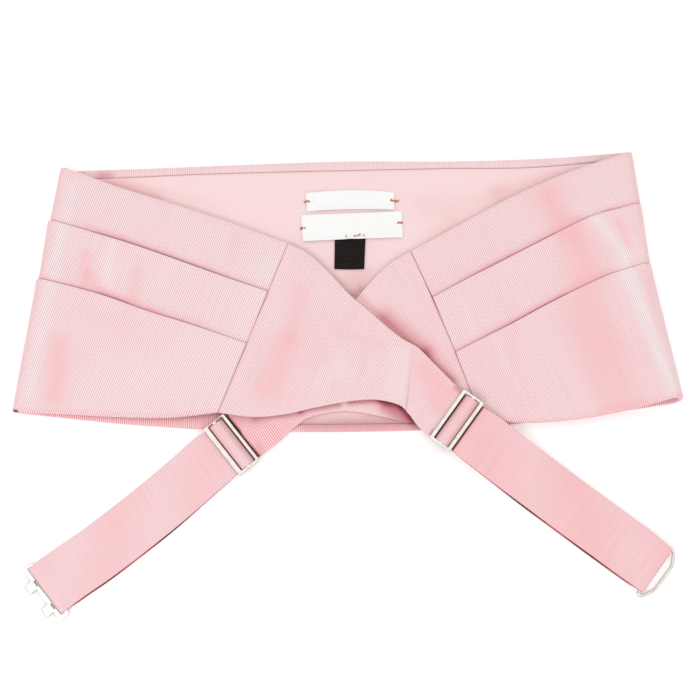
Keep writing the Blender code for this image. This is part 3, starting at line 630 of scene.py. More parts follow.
class NodeBench:
    """Makes and links the nodes of one material."""

    def __init__(self, name: str) -> None:
        """Starts a material with its Principled shader."""
        self.material = bpy.data.materials.new(name)
        self.material.use_nodes = True
        self.tree = self.material.node_tree
        self.shader = self.tree.nodes["Principled BSDF"]

    def node(self, kind: str, values: dict | None = None, **settings: object) -> bpy.types.Node:
        """Makes a node.

        Args:
            kind: its type, without the leading ShaderNode.
            values: a number, colour or link for each input, by the input's name or number.
            settings: the node's own settings.

        Returns:
            The node.
        """
        made = self.tree.nodes.new(f"ShaderNode{kind}")
        for key, value in settings.items():
            setattr(made, key, value)
        for key, value in (values or {}).items():
            self.feed(made.inputs[key], value)
        return made

    def feed(self, socket: Socket, value: object) -> None:
        """Links a socket to an output, or sets its number, vector or colour."""
        if isinstance(value, Socket):
            self.tree.links.new(value, socket)
        else:
            socket.default_value = value

    def math(self, operation: str, first: object, second: object = 0.0) -> Socket:
        """A Math node's result."""
        return self.node("Math", {0: first, 1: second}, operation=operation).outputs[0]

    def attribute(self, name: str) -> Socket:
        """The number that the mesh keeps under a name."""
        return self.node("Attribute", attribute_name=name).outputs["Fac"]

    def cloth_place(self) -> tuple:
        """The two coordinates on the flat cloth, in metres, and the UV output itself."""
        uv = self.node("UVMap", uv_map="cloth").outputs[0]
        split = self.node("SeparateXYZ", {0: uv})
        return split.outputs[0], split.outputs[1], uv

    def wave(self, kind: str, place: Socket, pitch: float) -> Socket:
        """The sine or cosine, as kind says, of a place in metres, with a pitch in millimetres."""
        return self.math(kind, self.math("MULTIPLY", place, 2 * math.pi / (pitch * MM)))

    def noise(self, vector: Socket, scale: float, detail: float = 2.0) -> Socket:
        """A noise pattern's value, with scale in lumps per metre."""
        return self.node("TexNoise", {"Vector": vector, "Scale": scale, "Detail": detail}).outputs["Fac"]

    def streaks(self, vector: Socket, scale: tuple, detail: float = 2.0) -> Socket:
        """A noise pattern's value, with its own scale along each axis."""
        return self.noise(self.node("Mapping", {"Vector": vector, "Scale": scale}).outputs[0], 1.0, detail)

    def mix(self, share: object, first: object, second: object) -> Socket:
        """A blend of two colours, which are the Mix node's inputs 6 and 7 and its output 2."""
        return self.node("Mix", {0: share, 6: first, 7: second}, data_type="RGBA").outputs[2]

    def ramp(self, value: object, low: float, high: float) -> Socket:
        """0 at low, 1 at high, and a smooth rise between."""
        values = {"Value": value, "From Min": low, "From Max": high}
        return self.node("MapRange", values, interpolation_type="SMOOTHSTEP").outputs[0]

    def share(self, value: object, low: float, high: float) -> Socket:
        """0 up to low, 1 from high, and a straight rise between."""
        return self.node("MapRange", {"Value": value, "From Min": low, "From Max": high}).outputs[0]

    def bump(self, height: object, depth: float, under: object = None) -> Socket:
        """A bumped normal: height from 0 to 1 raises the surface by depth metres."""
        values = {"Height": height, "Distance": depth, "Strength": 1.0}
        if under is not None:
            values["Normal"] = under
        return self.node("Bump", values).outputs[0]

    def plain(self, **values: object) -> None:
        """Sets the shader's own sockets, with spaces for the underscores in their names."""
        for key, value in values.items():
            self.feed(self.shader.inputs[key.replace("_", " ")], value)


@dataclass(frozen=True)
class RibbedSilk:
    """Faille: fine round ribs across the cloth, a soft sheen, and rosy and pale places of painted sheen,
    highlight and shade, made uneven by a soft cloud.
    """

    name: str
    pitch: float = RIB_PITCH
    palest: tuple = (0.860, 0.735, 0.755, 1.0)
    rosiest: tuple = (0.900, 0.515, 0.540, 1.0)
    rosy_shade: tuple = (0.700, 0.330, 0.360, 1.0)
    shaded: tuple = (0.400, 0.085, 0.100, 1.0)
    darkest: tuple = (0.035, 0.008, 0.008, 1.0)
    shade_stages: tuple = (0.0, 0.3, 0.6, 1.0)
    # How far each rib's painted highlight and the painted shade between ribs swing the colour.
    rib_swing: tuple = (0.090, 0.265, 0.250)
    rib_depth: float = 0.00009
    waver_scale: float = 55.0
    waver_depth: float = 0.00022
    weft_pitch: float = 0.42
    weft_share: float = 0.12
    cloud_scale: float = 38.0
    cloud_limits: tuple = (0.3, 0.7)
    cloud_tone: float = 0.12
    slub_scale: tuple = (900.0, 22.0, 1.0)
    slub_limits: tuple = (0.3, 0.8)
    slub_depth: float = 0.07
    slub_free: float = 1.02

    def material(self) -> Material:
        """The material: colour, bump and sheen follow the cloth's own UV map. The ribs are a cosine across
        it, wavering a little, with a fine sine along it for the weft."""
        bench = NodeBench(self.name)
        across, along, uv = bench.cloth_place()
        waver = bench.math("MULTIPLY", bench.noise(uv, self.waver_scale), self.waver_depth)
        wave = bench.wave("COSINE", bench.math("ADD", across, waver), self.pitch)
        weft = bench.wave("SINE", along, self.weft_pitch)
        colour = self.toned(bench, uv)
        colour = self.ribbed(bench, uv, wave, colour)
        # Painted shade: the mesh's shade darkens the colour in stages, to a rosy shade, a deep shade and
        # nearly black.
        shade = bench.attribute("shade")
        for stage, deeper in enumerate((self.rosy_shade, self.shaded, self.darkest)):
            low, high = self.shade_stages[stage : stage + 2]
            colour = bench.mix(bench.share(shade, low, high), colour, deeper)
        height = bench.math("ADD", wave, bench.math("MULTIPLY", weft, self.weft_share))
        top = 1.0 + self.weft_share
        bench.plain(Base_Color=colour, Roughness=0.5, Sheen_Weight=0.15, Sheen_Roughness=0.4)
        bench.plain(Sheen_Tint=(1.0, 0.88, 0.9, 1.0), Specular_IOR_Level=0.3)
        bench.plain(Normal=bench.bump(bench.share(height, -top, top), self.rib_depth))
        return bench.material

    def toned(self, bench: NodeBench, uv: Socket) -> Socket:
        """The colour between palest and rosiest by the mesh's tone, which holds painted sheen, highlight and
        shade, uneven by a soft cloud.
        """
        cloud = bench.share(bench.noise(uv, self.cloud_scale), *self.cloud_limits)
        level = bench.math("ADD", bench.attribute("tone"), bench.math("MULTIPLY", cloud, self.cloud_tone))
        low = self.cloud_tone / 2
        return bench.mix(bench.share(level, low, 1.0 + low), self.palest, self.rosiest)

    def ribbed(self, bench: NodeBench, uv: object, wave: object, colour: object) -> Socket:
        """The colour with its ribs.

        Args:
            bench: where the nodes are made.
            uv: the place on the flat cloth.
            wave: 1 on top of a rib and -1 between two.
            colour: the colour without ribs.

        Returns:
            It, with a painted highlight on each rib and painted shade between ribs, most so in green and
            blue, and a little darker in long thin slubs.
        """
        strength = bench.math("MULTIPLY", wave, bench.attribute("ribs"))
        swing = bench.node("VectorMath", {0: self.rib_swing, 3: strength}, operation="SCALE").outputs[0]
        slub = bench.share(bench.streaks(uv, self.slub_scale, 3.0), *self.slub_limits)
        around = bench.math("SUBTRACT", self.slub_free, bench.math("MULTIPLY", slub, self.slub_depth))
        factor = bench.node("VectorMath", {0: swing, 1: around}, operation="ADD").outputs[0]
        return bench.node("VectorMath", {0: colour, 1: factor}, operation="MULTIPLY").outputs[0]


@dataclass(frozen=True)
class LiningSilk:
    """Smooth plain silk, paler than the faille, with a very fine even weave."""

    name: str = "lining_silk"
    pale: tuple = (0.935, 0.750, 0.755, 1.0)
    mean: tuple = (0.915, 0.690, 0.695, 1.0)
    rose: tuple = (0.840, 0.500, 0.510, 1.0)
    shaded: tuple = (0.350, 0.110, 0.110, 1.0)
    pale_at: float = -0.9
    rose_at: float = 1.0
    deepest_shade: float = 0.9
    thread_pitch: float = 0.3
    thread_depth: float = 0.00001
    ripple_scale: tuple = (12.0, 60.0, 1.0)
    ripple_depth: float = 0.00025
    cloud_scale: float = 25.0
    cloud_tone: float = 0.7

    def material(self) -> Material:
        """The material: two sets of fine threads, soft clouds of tone on both sides of the mean, and long
        low ripples."""
        bench = NodeBench(self.name)
        across, along, uv = bench.cloth_place()
        warp = bench.wave("SINE", across, self.thread_pitch)
        weft = bench.wave("SINE", along, self.thread_pitch)
        weave = bench.math("MULTIPLY", warp, weft)
        ripple = bench.streaks(uv, self.ripple_scale)
        cloud = {0: bench.noise(uv, self.cloud_scale), 1: self.cloud_tone, 2: -self.cloud_tone / 2}
        uneven = bench.node("Math", cloud, operation="MULTIPLY_ADD").outputs[0]
        level = bench.math("ADD", bench.attribute("tone"), uneven)
        colour = bench.mix(bench.ramp(level, 0.0, self.pale_at), self.mean, self.pale)
        colour = bench.mix(bench.ramp(level, 0.0, self.rose_at), colour, self.rose)
        shade = bench.math("MINIMUM", bench.attribute("shade"), self.deepest_shade)
        colour = bench.mix(shade, colour, self.shaded)
        fine = bench.bump(weave, self.thread_depth)
        bench.plain(Base_Color=colour, Roughness=0.42, Sheen_Weight=0.15, Sheen_Roughness=0.4)
        bench.plain(Sheen_Tint=(1.0, 0.9, 0.9, 1.0), Specular_IOR_Level=0.35)
        bench.plain(Normal=bench.bump(ripple, self.ripple_depth, fine))
        return bench.material


@dataclass(frozen=True)
class Nickel:
    """Bright warm nickel with faint drawing lines, a duller bloom in places and dark sides, which are painted
    shade and dark reflection.
    """

    name: str = "nickel"
    bright: tuple = (0.87, 0.85, 0.79, 1.0)
    dull: tuple = (0.74, 0.70, 0.62, 1.0)
    sides: tuple = (0.16, 0.13, 0.11, 1.0)
    roughness: float = 0.2
    side_limits: tuple = (0.3, 0.85)
    bloom_scale: float = 260.0
    bloom_limits: tuple = (0.35, 0.8)
    drawn_scale: tuple = (2600.0, 420.0, 900.0)
    drawn_roughness: float = 0.12

    def material(self) -> Material:
        """The material, on Object coordinates: its sides, whose normals are far from upright, are painted
        dark, as painted shade and dark reflection.
        """
        bench = NodeBench(self.name)
        coordinates = bench.node("TexCoord").outputs
        place = coordinates["Object"]
        upright = bench.node("SeparateXYZ", {0: coordinates["Normal"]}).outputs[2]
        bloom = bench.noise(place, self.bloom_scale, 3.0)
        drawn = bench.math("MULTIPLY", bench.streaks(place, self.drawn_scale), self.drawn_roughness)
        colour = bench.mix(bench.ramp(bloom, *self.bloom_limits), self.bright, self.dull)
        # Painted shade and dark reflection: the colour darkens where the normal turns away from upright.
        colour = bench.mix(bench.ramp(upright, *self.side_limits), self.sides, colour)
        bench.plain(Base_Color=colour, Metallic=1.0, Roughness=bench.math("ADD", drawn, self.roughness))
        return bench.material


@dataclass(frozen=True)
class Tape:
    """Woven label tape: satin or plain, with a fine even grain."""

    name: str
    colour: tuple
    # The darker colour of the specks of wear and of the painted shade.
    wear_and_shade: tuple
    roughness: float
    grain: float
    sheen: float
    specular_share: float = 3.0
    weft_share: float = 0.8
    weave_depth: float = 0.00002
    speck_scale: float = 900.0
    speck_limits: tuple = (0.4, 0.8)

    def material(self) -> Material:
        """The material: the weave's grain follows the label's own UV map, its specks show wear, and its ends
        and edges carry painted shade in the same darker colour."""
        bench = NodeBench(self.name)
        across, along, uv = bench.cloth_place()
        warp = bench.wave("SINE", across, self.grain)
        weft = bench.wave("SINE", along, self.grain * self.weft_share)
        weave = bench.math("MULTIPLY", warp, weft)
        speck = bench.noise(uv, self.speck_scale)
        colour = bench.mix(bench.ramp(speck, *self.speck_limits), self.colour, self.wear_and_shade)
        # Painted shade at the label's ends and edges, in the darker colour of its wear.
        colour = bench.mix(bench.attribute("shade"), colour, self.wear_and_shade)
        bench.plain(Base_Color=colour, Roughness=self.roughness, Sheen_Weight=self.sheen)
        bench.plain(Specular_IOR_Level=self.sheen * self.specular_share)
        bench.plain(Normal=bench.bump(weave, self.weave_depth))
        return bench.material


@dataclass(frozen=True)
class TackThread:
    """Bright orange sewing thread with a twist."""

    name: str = "tack_thread"
    colour: tuple = (0.80, 0.17, 0.04, 1.0)
    # The painted shade in the twist's grooves, and how much of it shows.
    groove: tuple = (0.35, 0.05, 0.01, 1.0)
    groove_share: float = 0.45
    steepness: float = 2.0
    twist_pitch: float = 0.35
    twist_depth: float = 0.00003

    def material(self) -> Material:
        """The material: a twist that runs aslant the strand, with painted shade in its grooves."""
        bench = NodeBench(self.name)
        across, along, _ = bench.cloth_place()
        slant = bench.math("ADD", bench.math("MULTIPLY", along, self.steepness), across)
        twist = bench.wave("SINE", slant, self.twist_pitch)
        share = bench.math("MULTIPLY", bench.ramp(twist, 0.0, -1.0), self.groove_share)
        bench.plain(Base_Color=bench.mix(share, self.colour, self.groove), Roughness=0.6, Sheen_Weight=0.2)
        bench.plain(Normal=bench.bump(twist, self.twist_depth))
        return bench.material


class Wardrobe:
    """The finishes that the pieces share, each made once."""

    def __init__(self) -> None:
        """Makes every material."""
        self.faille = RibbedSilk("ribbed_silk").material()
        self.strap_faille = RibbedSilk("strap_silk", STRAP_RIB_PITCH).material()
        self.lining = LiningSilk().material()
        self.nickel = Nickel().material()
        # The hook plate is brighter, with lighter painted shade on its sides.
        self.plated = Nickel(
            name="hook_nickel", bright=(0.97, 0.96, 0.94, 1.0), dull=(0.90, 0.89, 0.86, 1.0),
            sides=(0.40, 0.37, 0.35, 1.0), roughness=0.25,
        ).material()
        self.satin = Tape(
            name="white_satin", colour=(0.975, 0.985, 0.980, 1.0), wear_and_shade=(0.925, 0.935, 0.935, 1.0),
            roughness=0.45, grain=0.25, sheen=0.1,
        ).material()
        self.tape = Tape(
            name="black_tape", colour=(0.010, 0.008, 0.008, 1.0), wear_and_shade=(0.022, 0.018, 0.018, 1.0),
            roughness=0.8, grain=0.35, sheen=0.03,
        ).material()
        self.thread = TackThread().material()


# ---- The panel and its lining ----


@dataclass(frozen=True)
class Fold:
    """Where an end of the panel rolls over. The half circles' radii are given at its two edges. Bows are how
    far inside the straight line between those edges each rail folds, and slips are how far each one moves
    down along it as it turns. How free the cloth is of its pressing is the smooth step of a straight line
    between the numbers of freeing."""

    hand: Hand
    section: CentreSection
    upper_radius: float
    lower_radius: float
    bows: tuple
    slips: tuple
    freeing: tuple

    def flat(self) -> Grid:
        """The four rails on the panel's section at the fold."""
        return centre_rails(np.array([self.section]))[0]

    def down(self) -> Grid:
        """The plan direction down along the fold."""
        flat = self.flat()
        return unit(flat[-1, :2] - flat[0, :2])

    def outward(self) -> Grid:
        """The plan direction out of the garment, square to the fold."""
        out = square_to(self.down())
        return out * math.copysign(1.0, out[0] * self.hand.value)

    def bow(self) -> Grid:
        """The plan shift of each rail by its bow."""
        return -np.array(self.bows)[:, None] * self.outward()

    def slipped(self, angles: Grid) -> Grid:
        """The plan shift of each rail by its slip at each angle: slip times (1 - cosine) / 2."""
        return np.array(self.slips)[:, None] * self.down() * (1 - np.cos(angles[:, None, None])) / 2

    def radii(self) -> Grid:
        """The radius at each rail."""
        spread = self.lower_radius - self.upper_radius
        return self.upper_radius + spread * np.array(PLEAT_FRACTIONS)

    def rows(self, angles: Grid) -> Grid:
        """The rails rolled to each angle.

        Args:
            angles: from 0, flat, to half a turn, in radians.

        Returns:
            For each angle the four rails, bowed and slipped, then out by radius times the angle's sine and
            up by radius times 1 - cosine.
        """
        turn = angles[:, None, None]
        rolled = np.repeat(self.flat()[None], len(angles), axis=0)
        rolled[..., :2] += self.bow() + self.slipped(angles)
        rolled[..., :2] += self.radii()[:, None] * np.sin(turn) * self.outward()
        rolled[..., 2] += self.radii() * (1 - np.cos(angles))[:, None]
        return rolled

    def unrolled(self, angles: Grid) -> Grid:
        """Where those rails are on the flat cloth: out by radius times the angle, slipped as they are, and
        the bow turned over with them."""
        out = (self.radii() * angles[:, None])[..., None] * self.outward()
        return self.flat()[:, :2] + out + self.bow() * np.cos(angles)[:, None, None] + self.slipped(angles)

    def unfolded(self, rails: Grid) -> Grid:
        """Where a wing's rails are on the flat cloth: mirrored in the fold's line, and half a turn out."""
        out = self.outward()
        plan = rails[..., :2]
        inside = ((plan - self.flat()[0, :2]) @ out)[..., None]
        return plan + out * (math.pi * self.radii()[:, None] - 2 * inside)

    def eased(self, centre: Grid) -> Grid:
        """Rows of centre rails, the ones near the fold shifted to meet its bowed rails."""
        away = np.abs(centre[..., 0] - self.flat()[:, 0])
        centre = centre.copy()
        centre[..., :2] += self.bow() * (1 - smooth_step(away / BOW_REACH))[..., None]
        return centre

    def freed(self, count: int) -> Grid:
        """How free the cloth is at even steps round the fold, from 0, pressed flat, to 1."""
        return smooth_step(np.linspace(*self.freeing, count))


def turning(table: tuple, x: Grid) -> Grid:
    """The width of a turned-over edge at each place along the panel, straight between the table's places."""
    places, widths = np.array(table).T
    return np.interp(x, places, widths)


def centre_rails(sections: Grid) -> Grid:
    """The four rails of each centre section, at their fractions from its upper to its lower edge."""
    level = np.full((len(sections), 1), CENTRE_HEIGHT)
    upper = np.hstack([sections[:, :2], level])[:, None]
    lower = np.hstack([sections[:, 2:], level])[:, None]
    return upper + (lower - upper) * np.array(PLEAT_FRACTIONS)[:, None]


def wing_rails(sections: tuple) -> Grid:
    """The four rails of each wing section, each one's height at its fraction between the two edges'."""
    table = np.array(sections)
    plan = table[:, :8].reshape(-1, 4, 2)
    rise = (table[:, 9] - table[:, 8])[:, None]
    height = table[:, 8:9] + rise * np.array(PLEAT_FRACTIONS)
    return np.concatenate([plan, height[..., None]], axis=2)


class Knot(NamedTuple):
    """A point of the panel's cut. The shift is measured from its rail along the section, one for all rows or
    one each. Shift and level are given for free cloth and for cloth pressed flat. Parts is the count of steps
    to the next knot, and lift is how far it rises where a pleat stands open. Tone, shade and ribs are its
    marks."""

    rail: int
    shift: float | Grid
    pressed_shift: float | Grid
    level: float
    pressed_level: float
    parts: int = 1
    lift: float = 0.0
    tone: float = 0.0
    shade: float = 0.0
    ribs: float = 1.0


RIGHT_FOLD = Fold(
    hand=Hand.RIGHT, section=CENTRE[0], upper_radius=3.4, lower_radius=4.2,
    bows=(0.0, 1.1, 2.4, 0.0), slips=(2.0, 0.4, 0.0, -1.7), freeing=(-0.9, 1.2),
)
LEFT_FOLD = Fold(
    hand=Hand.LEFT, section=CENTRE[-1], upper_radius=1.9, lower_radius=2.0,
    bows=(0.0, 0.0, 0.0, 0.0), slips=(-0.8, -0.2, 0.0, 0.0), freeing=(-0.1, 2.0),
)


@dataclass
class PanelForm:
    """The course of the panel from its right seam over both folds to its left seam, shared by the pleated
    cloth and the lining. It keeps the rails' rows, where each is laid on the flat cloth, how free it is of
    its pressing, and its run along its wing, from 0 at the fold to 1 at the seam."""

    right_fold: Fold = RIGHT_FOLD
    left_fold: Fold = LEFT_FOLD
    wing_steps: int = 96
    fold_steps: int = 30
    centre_steps: int = 150
    seam_step: float = 0.01
    seam_bow: float = 1.1
    right_tone: float = 0.45
    left_tone: float = 0.36
    right_lean: float = -0.08
    left_lean: float = 0.045
    lean_reach: float = 140.0
    shut_share: float = 0.35
    fold_fade: float = 6.0

    def __post_init__(self) -> None:
        """Works out every row once: curves through the wings' and the centre's sections, and half circles
        at the folds. How far a row is on its wing grows over the second quarter of its fold's turn."""
        angles = np.linspace(0.0, math.pi, self.fold_steps)
        right_roll = self.right_fold.rows(angles)
        left_roll = self.left_fold.rows(angles)
        places = close_to_end(self.wing_steps, self.seam_step)[1:] * len(LEFT_WING)
        right = self.bowed(curve_at(np.concatenate([right_roll[-1:], wing_rails(RIGHT_WING)]), places))
        left = curve_at(np.concatenate([left_roll[-1:], wing_rails(LEFT_WING)]), places)
        middle = centre_rails(curve_at(CENTRE, np.linspace(0, len(CENTRE) - 1, self.centre_steps)[1:-1]))
        middle = self.left_fold.eased(self.right_fold.eased(middle))
        self.rails = np.concatenate([right[::-1], right_roll[::-1], middle, left_roll, left])
        self.laid = np.concatenate(
            [
                self.right_fold.unfolded(right)[::-1],
                self.right_fold.unrolled(angles)[::-1],
                middle[..., :2],
                self.left_fold.unrolled(angles),
                self.left_fold.unfolded(left),
            ]
        )
        run = places / len(LEFT_WING)
        turned = smooth_step(angles / math.pi * 4 - 1)
        on_wing, off_wing = np.ones(len(run)), np.zeros(len(run))
        off_fold, off_middle = np.zeros(len(turned)), np.zeros(len(middle))
        right_free = self.right_fold.freed(self.fold_steps)[::-1]
        left_free = self.left_fold.freed(self.fold_steps)
        self.free = np.concatenate([on_wing, right_free, off_middle, left_free, on_wing])
        self.on_right = np.concatenate([on_wing, turned[::-1], off_middle, off_fold, off_wing])
        self.on_left = np.concatenate([off_wing, off_fold, off_middle, turned, on_wing])
        self.run = np.concatenate([run[::-1], off_fold, off_middle, off_fold, run])
        self.outward = -unit(np.cross(np.gradient(self.rails, axis=0), np.gradient(self.rails, axis=1)))
        pleat = self.rails[:, 1]
        self.to_seam = np.minimum(*[np.linalg.norm(pleat - pleat[end], axis=1) for end in (0, -1)])

    def bowed(self, rails: Grid) -> Grid:
        """The right wing with its seam bowed a little into the wing, by a parabola that fades along it."""
        from_seam = np.linalg.norm(rails[:, 0, :2] - rails[-1, 0, :2], axis=1)
        fade = smooth_step(1 - from_seam / BOW_REACH)
        fraction = np.array(PLEAT_FRACTIONS)
        bow = self.seam_bow * 4 * fraction * (1 - fraction) * fade[:, None]
        rails = rails.copy()
        rails[..., 0] += bow
        return rails

    def sweep(self, knots: tuple, opening: Grid) -> Shell:
        """Carries a cut along the panel.

        Args:
            knots: the closed outline of the cut.
            opening: how far the pleats stand open on each row, from 0 to 1.

        Returns:
            The shell, with steps between the knots on straight lines and the soft folds added. A pleat has
            its shut share of its own shade and tone where it is shut, and all of them where it stands open.
        """
        rings, laid, marks = [], [], []
        for knot in knots:
            shift = knot.pressed_shift + (knot.shift - knot.pressed_shift) * self.free
            level = knot.pressed_level + (knot.level - knot.pressed_level) * self.free
            level = level + knot.lift * opening
            beyond = knot.rail + 1 if np.mean(knot.pressed_shift) >= 0 and knot.rail < 3 else knot.rail - 1
            sign = 1.0 if beyond > knot.rail else -1.0
            gap = self.rails[:, beyond] - self.rails[:, knot.rail]
            part = (sign * shift / np.linalg.norm(gap, axis=1))[:, None]
            out = unit(self.outward[:, knot.rail] * (1 - part) + self.outward[:, beyond] * part)
            rings.append(self.rails[:, knot.rail] + gap * part + out * level[:, None])
            laid.append(self.laid[:, knot.rail] * (1 - part) + self.laid[:, beyond] * part)
            weight = np.ones_like(opening)
            if knot.rail in (1, 2):
                weight = self.shut_share + (1 - self.shut_share) * opening
            marks.append(np.outer(weight, [knot.tone, knot.shade, 0.0]) + [0.0, 0.0, knot.ribs])
        parts = [knot.parts for knot in knots]
        whole = np.concatenate([np.stack(rings, 1), np.stack(laid, 1), np.stack(marks, 1)], axis=2)
        start = np.repeat(np.arange(len(knots)), parts)
        share = np.concatenate([np.arange(count) / count for count in parts])[:, None]
        whole = whole[:, start] * (1 - share) + whole[:, (start + 1) % len(knots)] * share
        tone, shade, ribs = whole[..., 5], whole[..., 6], whole[..., 7]
        return self.softened(Shell(whole[..., :3], whole[..., 3:5], tone, shade, ribs))

    def softened(self, shell: Shell) -> Shell:
        """Adds to a swept shell what each wing has of its own: soft folds that fade at its fold and its seam,
        tones, ribs and shades, and the dip of the seam's line. The ribs lean by a share of the place across
        the cloth, which runs straight from one wing's lean to the other's."""
        x, y = shell.rings[..., 0], shell.rings[..., 1]
        right = self.on_right[:, None]
        left = self.on_left[:, None]
        rise = strokes_at(RIGHT_WING_FOLDS, x, y) * right + strokes_at(LEFT_WING_FOLDS, x, y) * left
        past_fold = smooth_step(np.abs(self.on_right + self.on_left))[:, None]
        shell.rings[..., 2] += rise * past_fold * smooth_step((1 - self.run) * self.fold_fade)[:, None]
        reach = (-self.lean_reach, self.lean_reach)
        lean = np.interp(shell.laid[..., 0], reach, (self.left_lean, self.right_lean))
        shell.laid[..., 0] += lean * shell.laid[..., 1]
        ditch = seam_shade(self.to_seam)[:, None]
        shell.shade = shell.shade + ditch
        for tone, tones, shades, wing in (
            (self.right_tone, RIGHT_WING_TONES, RIGHT_WING_SHADES, right),
            (self.left_tone, LEFT_WING_TONES, LEFT_WING_SHADES, left),
        ):
            shell.tone = shell.tone + (tone + strokes_at(tones, x, y)) * wing
            shell.ribs = shell.ribs + strokes_at(tones, x, y, "ribs") * wing
            shell.shade = shell.shade + strokes_at(shades, x, y) * wing
        shell.rings = shell.rings - SEAM_DIP * ditch[..., None] * self.outward.mean(axis=1)[:, None]
        return shell


@dataclass
class PleatedPanel:
    """The outer cloth in one piece: two pleats that open towards the upper edge, both long edges turned
    over."""

    form: PanelForm
    pleat_depth: float = 2.5
    lip_level: float = 2.0
    lip_lift: float = 0.55
    lip_inset: float = 0.3
    lip_steps: int = 9
    pressed_inset: float = 0.15
    lip_shade: float = 0.35
    nose_reach: float = 0.55
    nose_steps: int = 11
    # The tone and ribs of the upper and lower edges; the lower edge's rosier tone is painted shade.
    upper_marks: tuple = (0.1, 1.0)
    lower_marks: tuple = (0.3, 1.6)
    centre_tone: float = 0.4
    opening_at_fold: float = 3.0
    opening_at_seam: float = 2.5

    def nose(self, rail: int, sign: float, downward: bool) -> list:
        """A turned-over edge: half an ellipse between the outside and the turning's own level.

        Args:
            rail: the edge's rail.
            sign: 1 if inwards is down the panel, -1 if it is up.
            downward: whether the outline runs from the outside to the turning.

        Returns:
            Its knots, with the edge's tone and ribs; the lower edge is painted rosier, a painted shade on the
            edge that rolls under.
        """
        angles = np.linspace(-math.pi / 2, math.pi / 2, self.nose_steps)
        if downward:
            angles = angles[::-1]
        middle = (OUTER_WALL + TURNING_LEVEL) / 2
        half = (OUTER_WALL - TURNING_LEVEL) / 2
        tone, ribs = self.lower_marks if downward else self.upper_marks
        knots = []
        for angle in angles:
            shift = sign * self.nose_reach * (1 - math.cos(angle))
            level = middle + half * math.sin(angle)
            knots.append(Knot(rail, shift, shift, level, level, 1, 0.0, tone, 0.0, ribs))
        return knots

    def pleat(self, rail: int, parts: int) -> list:
        """One pleat: the band above dips into a narrow groove, and the lip's round nose hangs over it, a
        half circle in side view, or a low swelling where it is pressed.

        Args:
            rail: the pleat's rail.
            parts: the count of steps from the lip to the next knot.

        Returns:
            Its knots.
        """
        wall = OUTER_WALL
        notch = wall - 0.5
        under = wall + SEAM_GAP
        # The band grows rosier and darker towards the lip: painted shade beside and under the lip.
        knots = [
            Knot(rail, -4.0, -4.0, wall, wall, 3),
            Knot(rail, -2.0, -2.0, wall, wall, 2, 0.0, 0.25),
            Knot(rail, -0.9, -0.9, wall - 0.01, wall - 0.1, 2, 0.0, 0.4, 0.08),
            Knot(rail, -0.3, -0.3, wall - 0.04, notch + 0.1, 1, 0.0, 0.4, 0.3),
            Knot(rail, 0.05, 0.0, wall - 0.12, notch, 2, 0.0, 0.4, 0.55),
            Knot(rail, self.pleat_depth, 0.5, wall - 0.15, notch, 1, 0.0, 0.3, 1.0),
            Knot(rail, self.pleat_depth, 0.5, under - 0.1, notch + 0.2, 3, 0.0, 0.3, 1.0),
            Knot(rail, 0.9, 0.3, under, notch + 0.2, 1, 0.44, 0.3, 0.8),
        ]
        centre = (under + self.lip_level) / 2
        half = (self.lip_level - under) / 2
        inset = self.pressed_inset
        for angle in np.linspace(-math.pi / 2, math.pi / 2, self.lip_steps):
            shift = self.lip_inset + half - half * math.cos(angle)
            level = centre + half * math.sin(angle)
            pressed = wall - inset + inset * math.sin(angle)
            shade = self.lip_shade * (1 - math.sin(angle)) / 2
            near = inset * (1 - math.cos(angle))
            knots.append(Knot(rail, shift, near, level, pressed, 1, self.lip_lift, 0.0, shade))
        knots.append(Knot(rail, 3.0, 3.0, self.lip_level - 0.1, wall, 4, 0.385))
        knots.append(Knot(rail, 8.0, 8.0, self.lip_level - 0.3, wall, parts, 0.11))
        return knots

    def knots(self) -> tuple:
        """The whole outline: outside from the upper edge down, then inside back up."""
        turned = TURNING_LEVEL
        upper = turning(UPPER_TURNING, self.form.laid[:, 0, 0])
        lower = -turning(LOWER_TURNING, self.form.laid[:, 3, 0])
        outside = [
            *self.nose(0, 1.0, False),
            Knot(0, 3.0, 3.0, OUTER_WALL, OUTER_WALL, 16),
            *self.pleat(1, 16),
            *self.pleat(2, 34),
            Knot(3, -3.0, -3.0, OUTER_WALL, OUTER_WALL, 3),
            *self.nose(3, -1.0, True),
        ]
        # The turned edges that show inside are painted rosier and darker: painted shade along them under the
        # wings' edges, deepest on the lower edge.
        inside = [
            Knot(3, lower + 0.3, lower + 0.3, turned, turned, 2, 0.0, 0.4, 0.1),
            Knot(3, lower, lower, turned + 0.3, turned + 0.3, 1, 0.0, 0.4, 0.25),
            Knot(3, lower, lower, 0.0, 0.0, 20, 0.0, 0.4, 0.4),
            Knot(2, 0.0, 0.0, 0.0, 0.0, 10),
            Knot(1, 0.0, 0.0, 0.0, 0.0, 10),
            Knot(0, upper, upper, 0.0, 0.0, 1, 0.0, 0.1, 0.4, 0.6),
            Knot(0, upper, upper, turned + 0.3, turned + 0.3, 1, 0.0, 0.1, 0.15, 0.6),
            Knot(0, upper - 0.3, upper - 0.3, turned, turned, 5, 0.0, 0.0, 0.0, 0.6),
        ]
        return tuple(outside + inside)

    def openings(self) -> Grid:
        """How far the pleats stand open, from 0 at fold and seam to 1 in the middle of each wing."""
        run = self.form.run
        wing = self.form.free * (run > 0)
        return wing * smooth_step(run * self.opening_at_fold) * smooth_step((1 - run) * self.opening_at_seam)

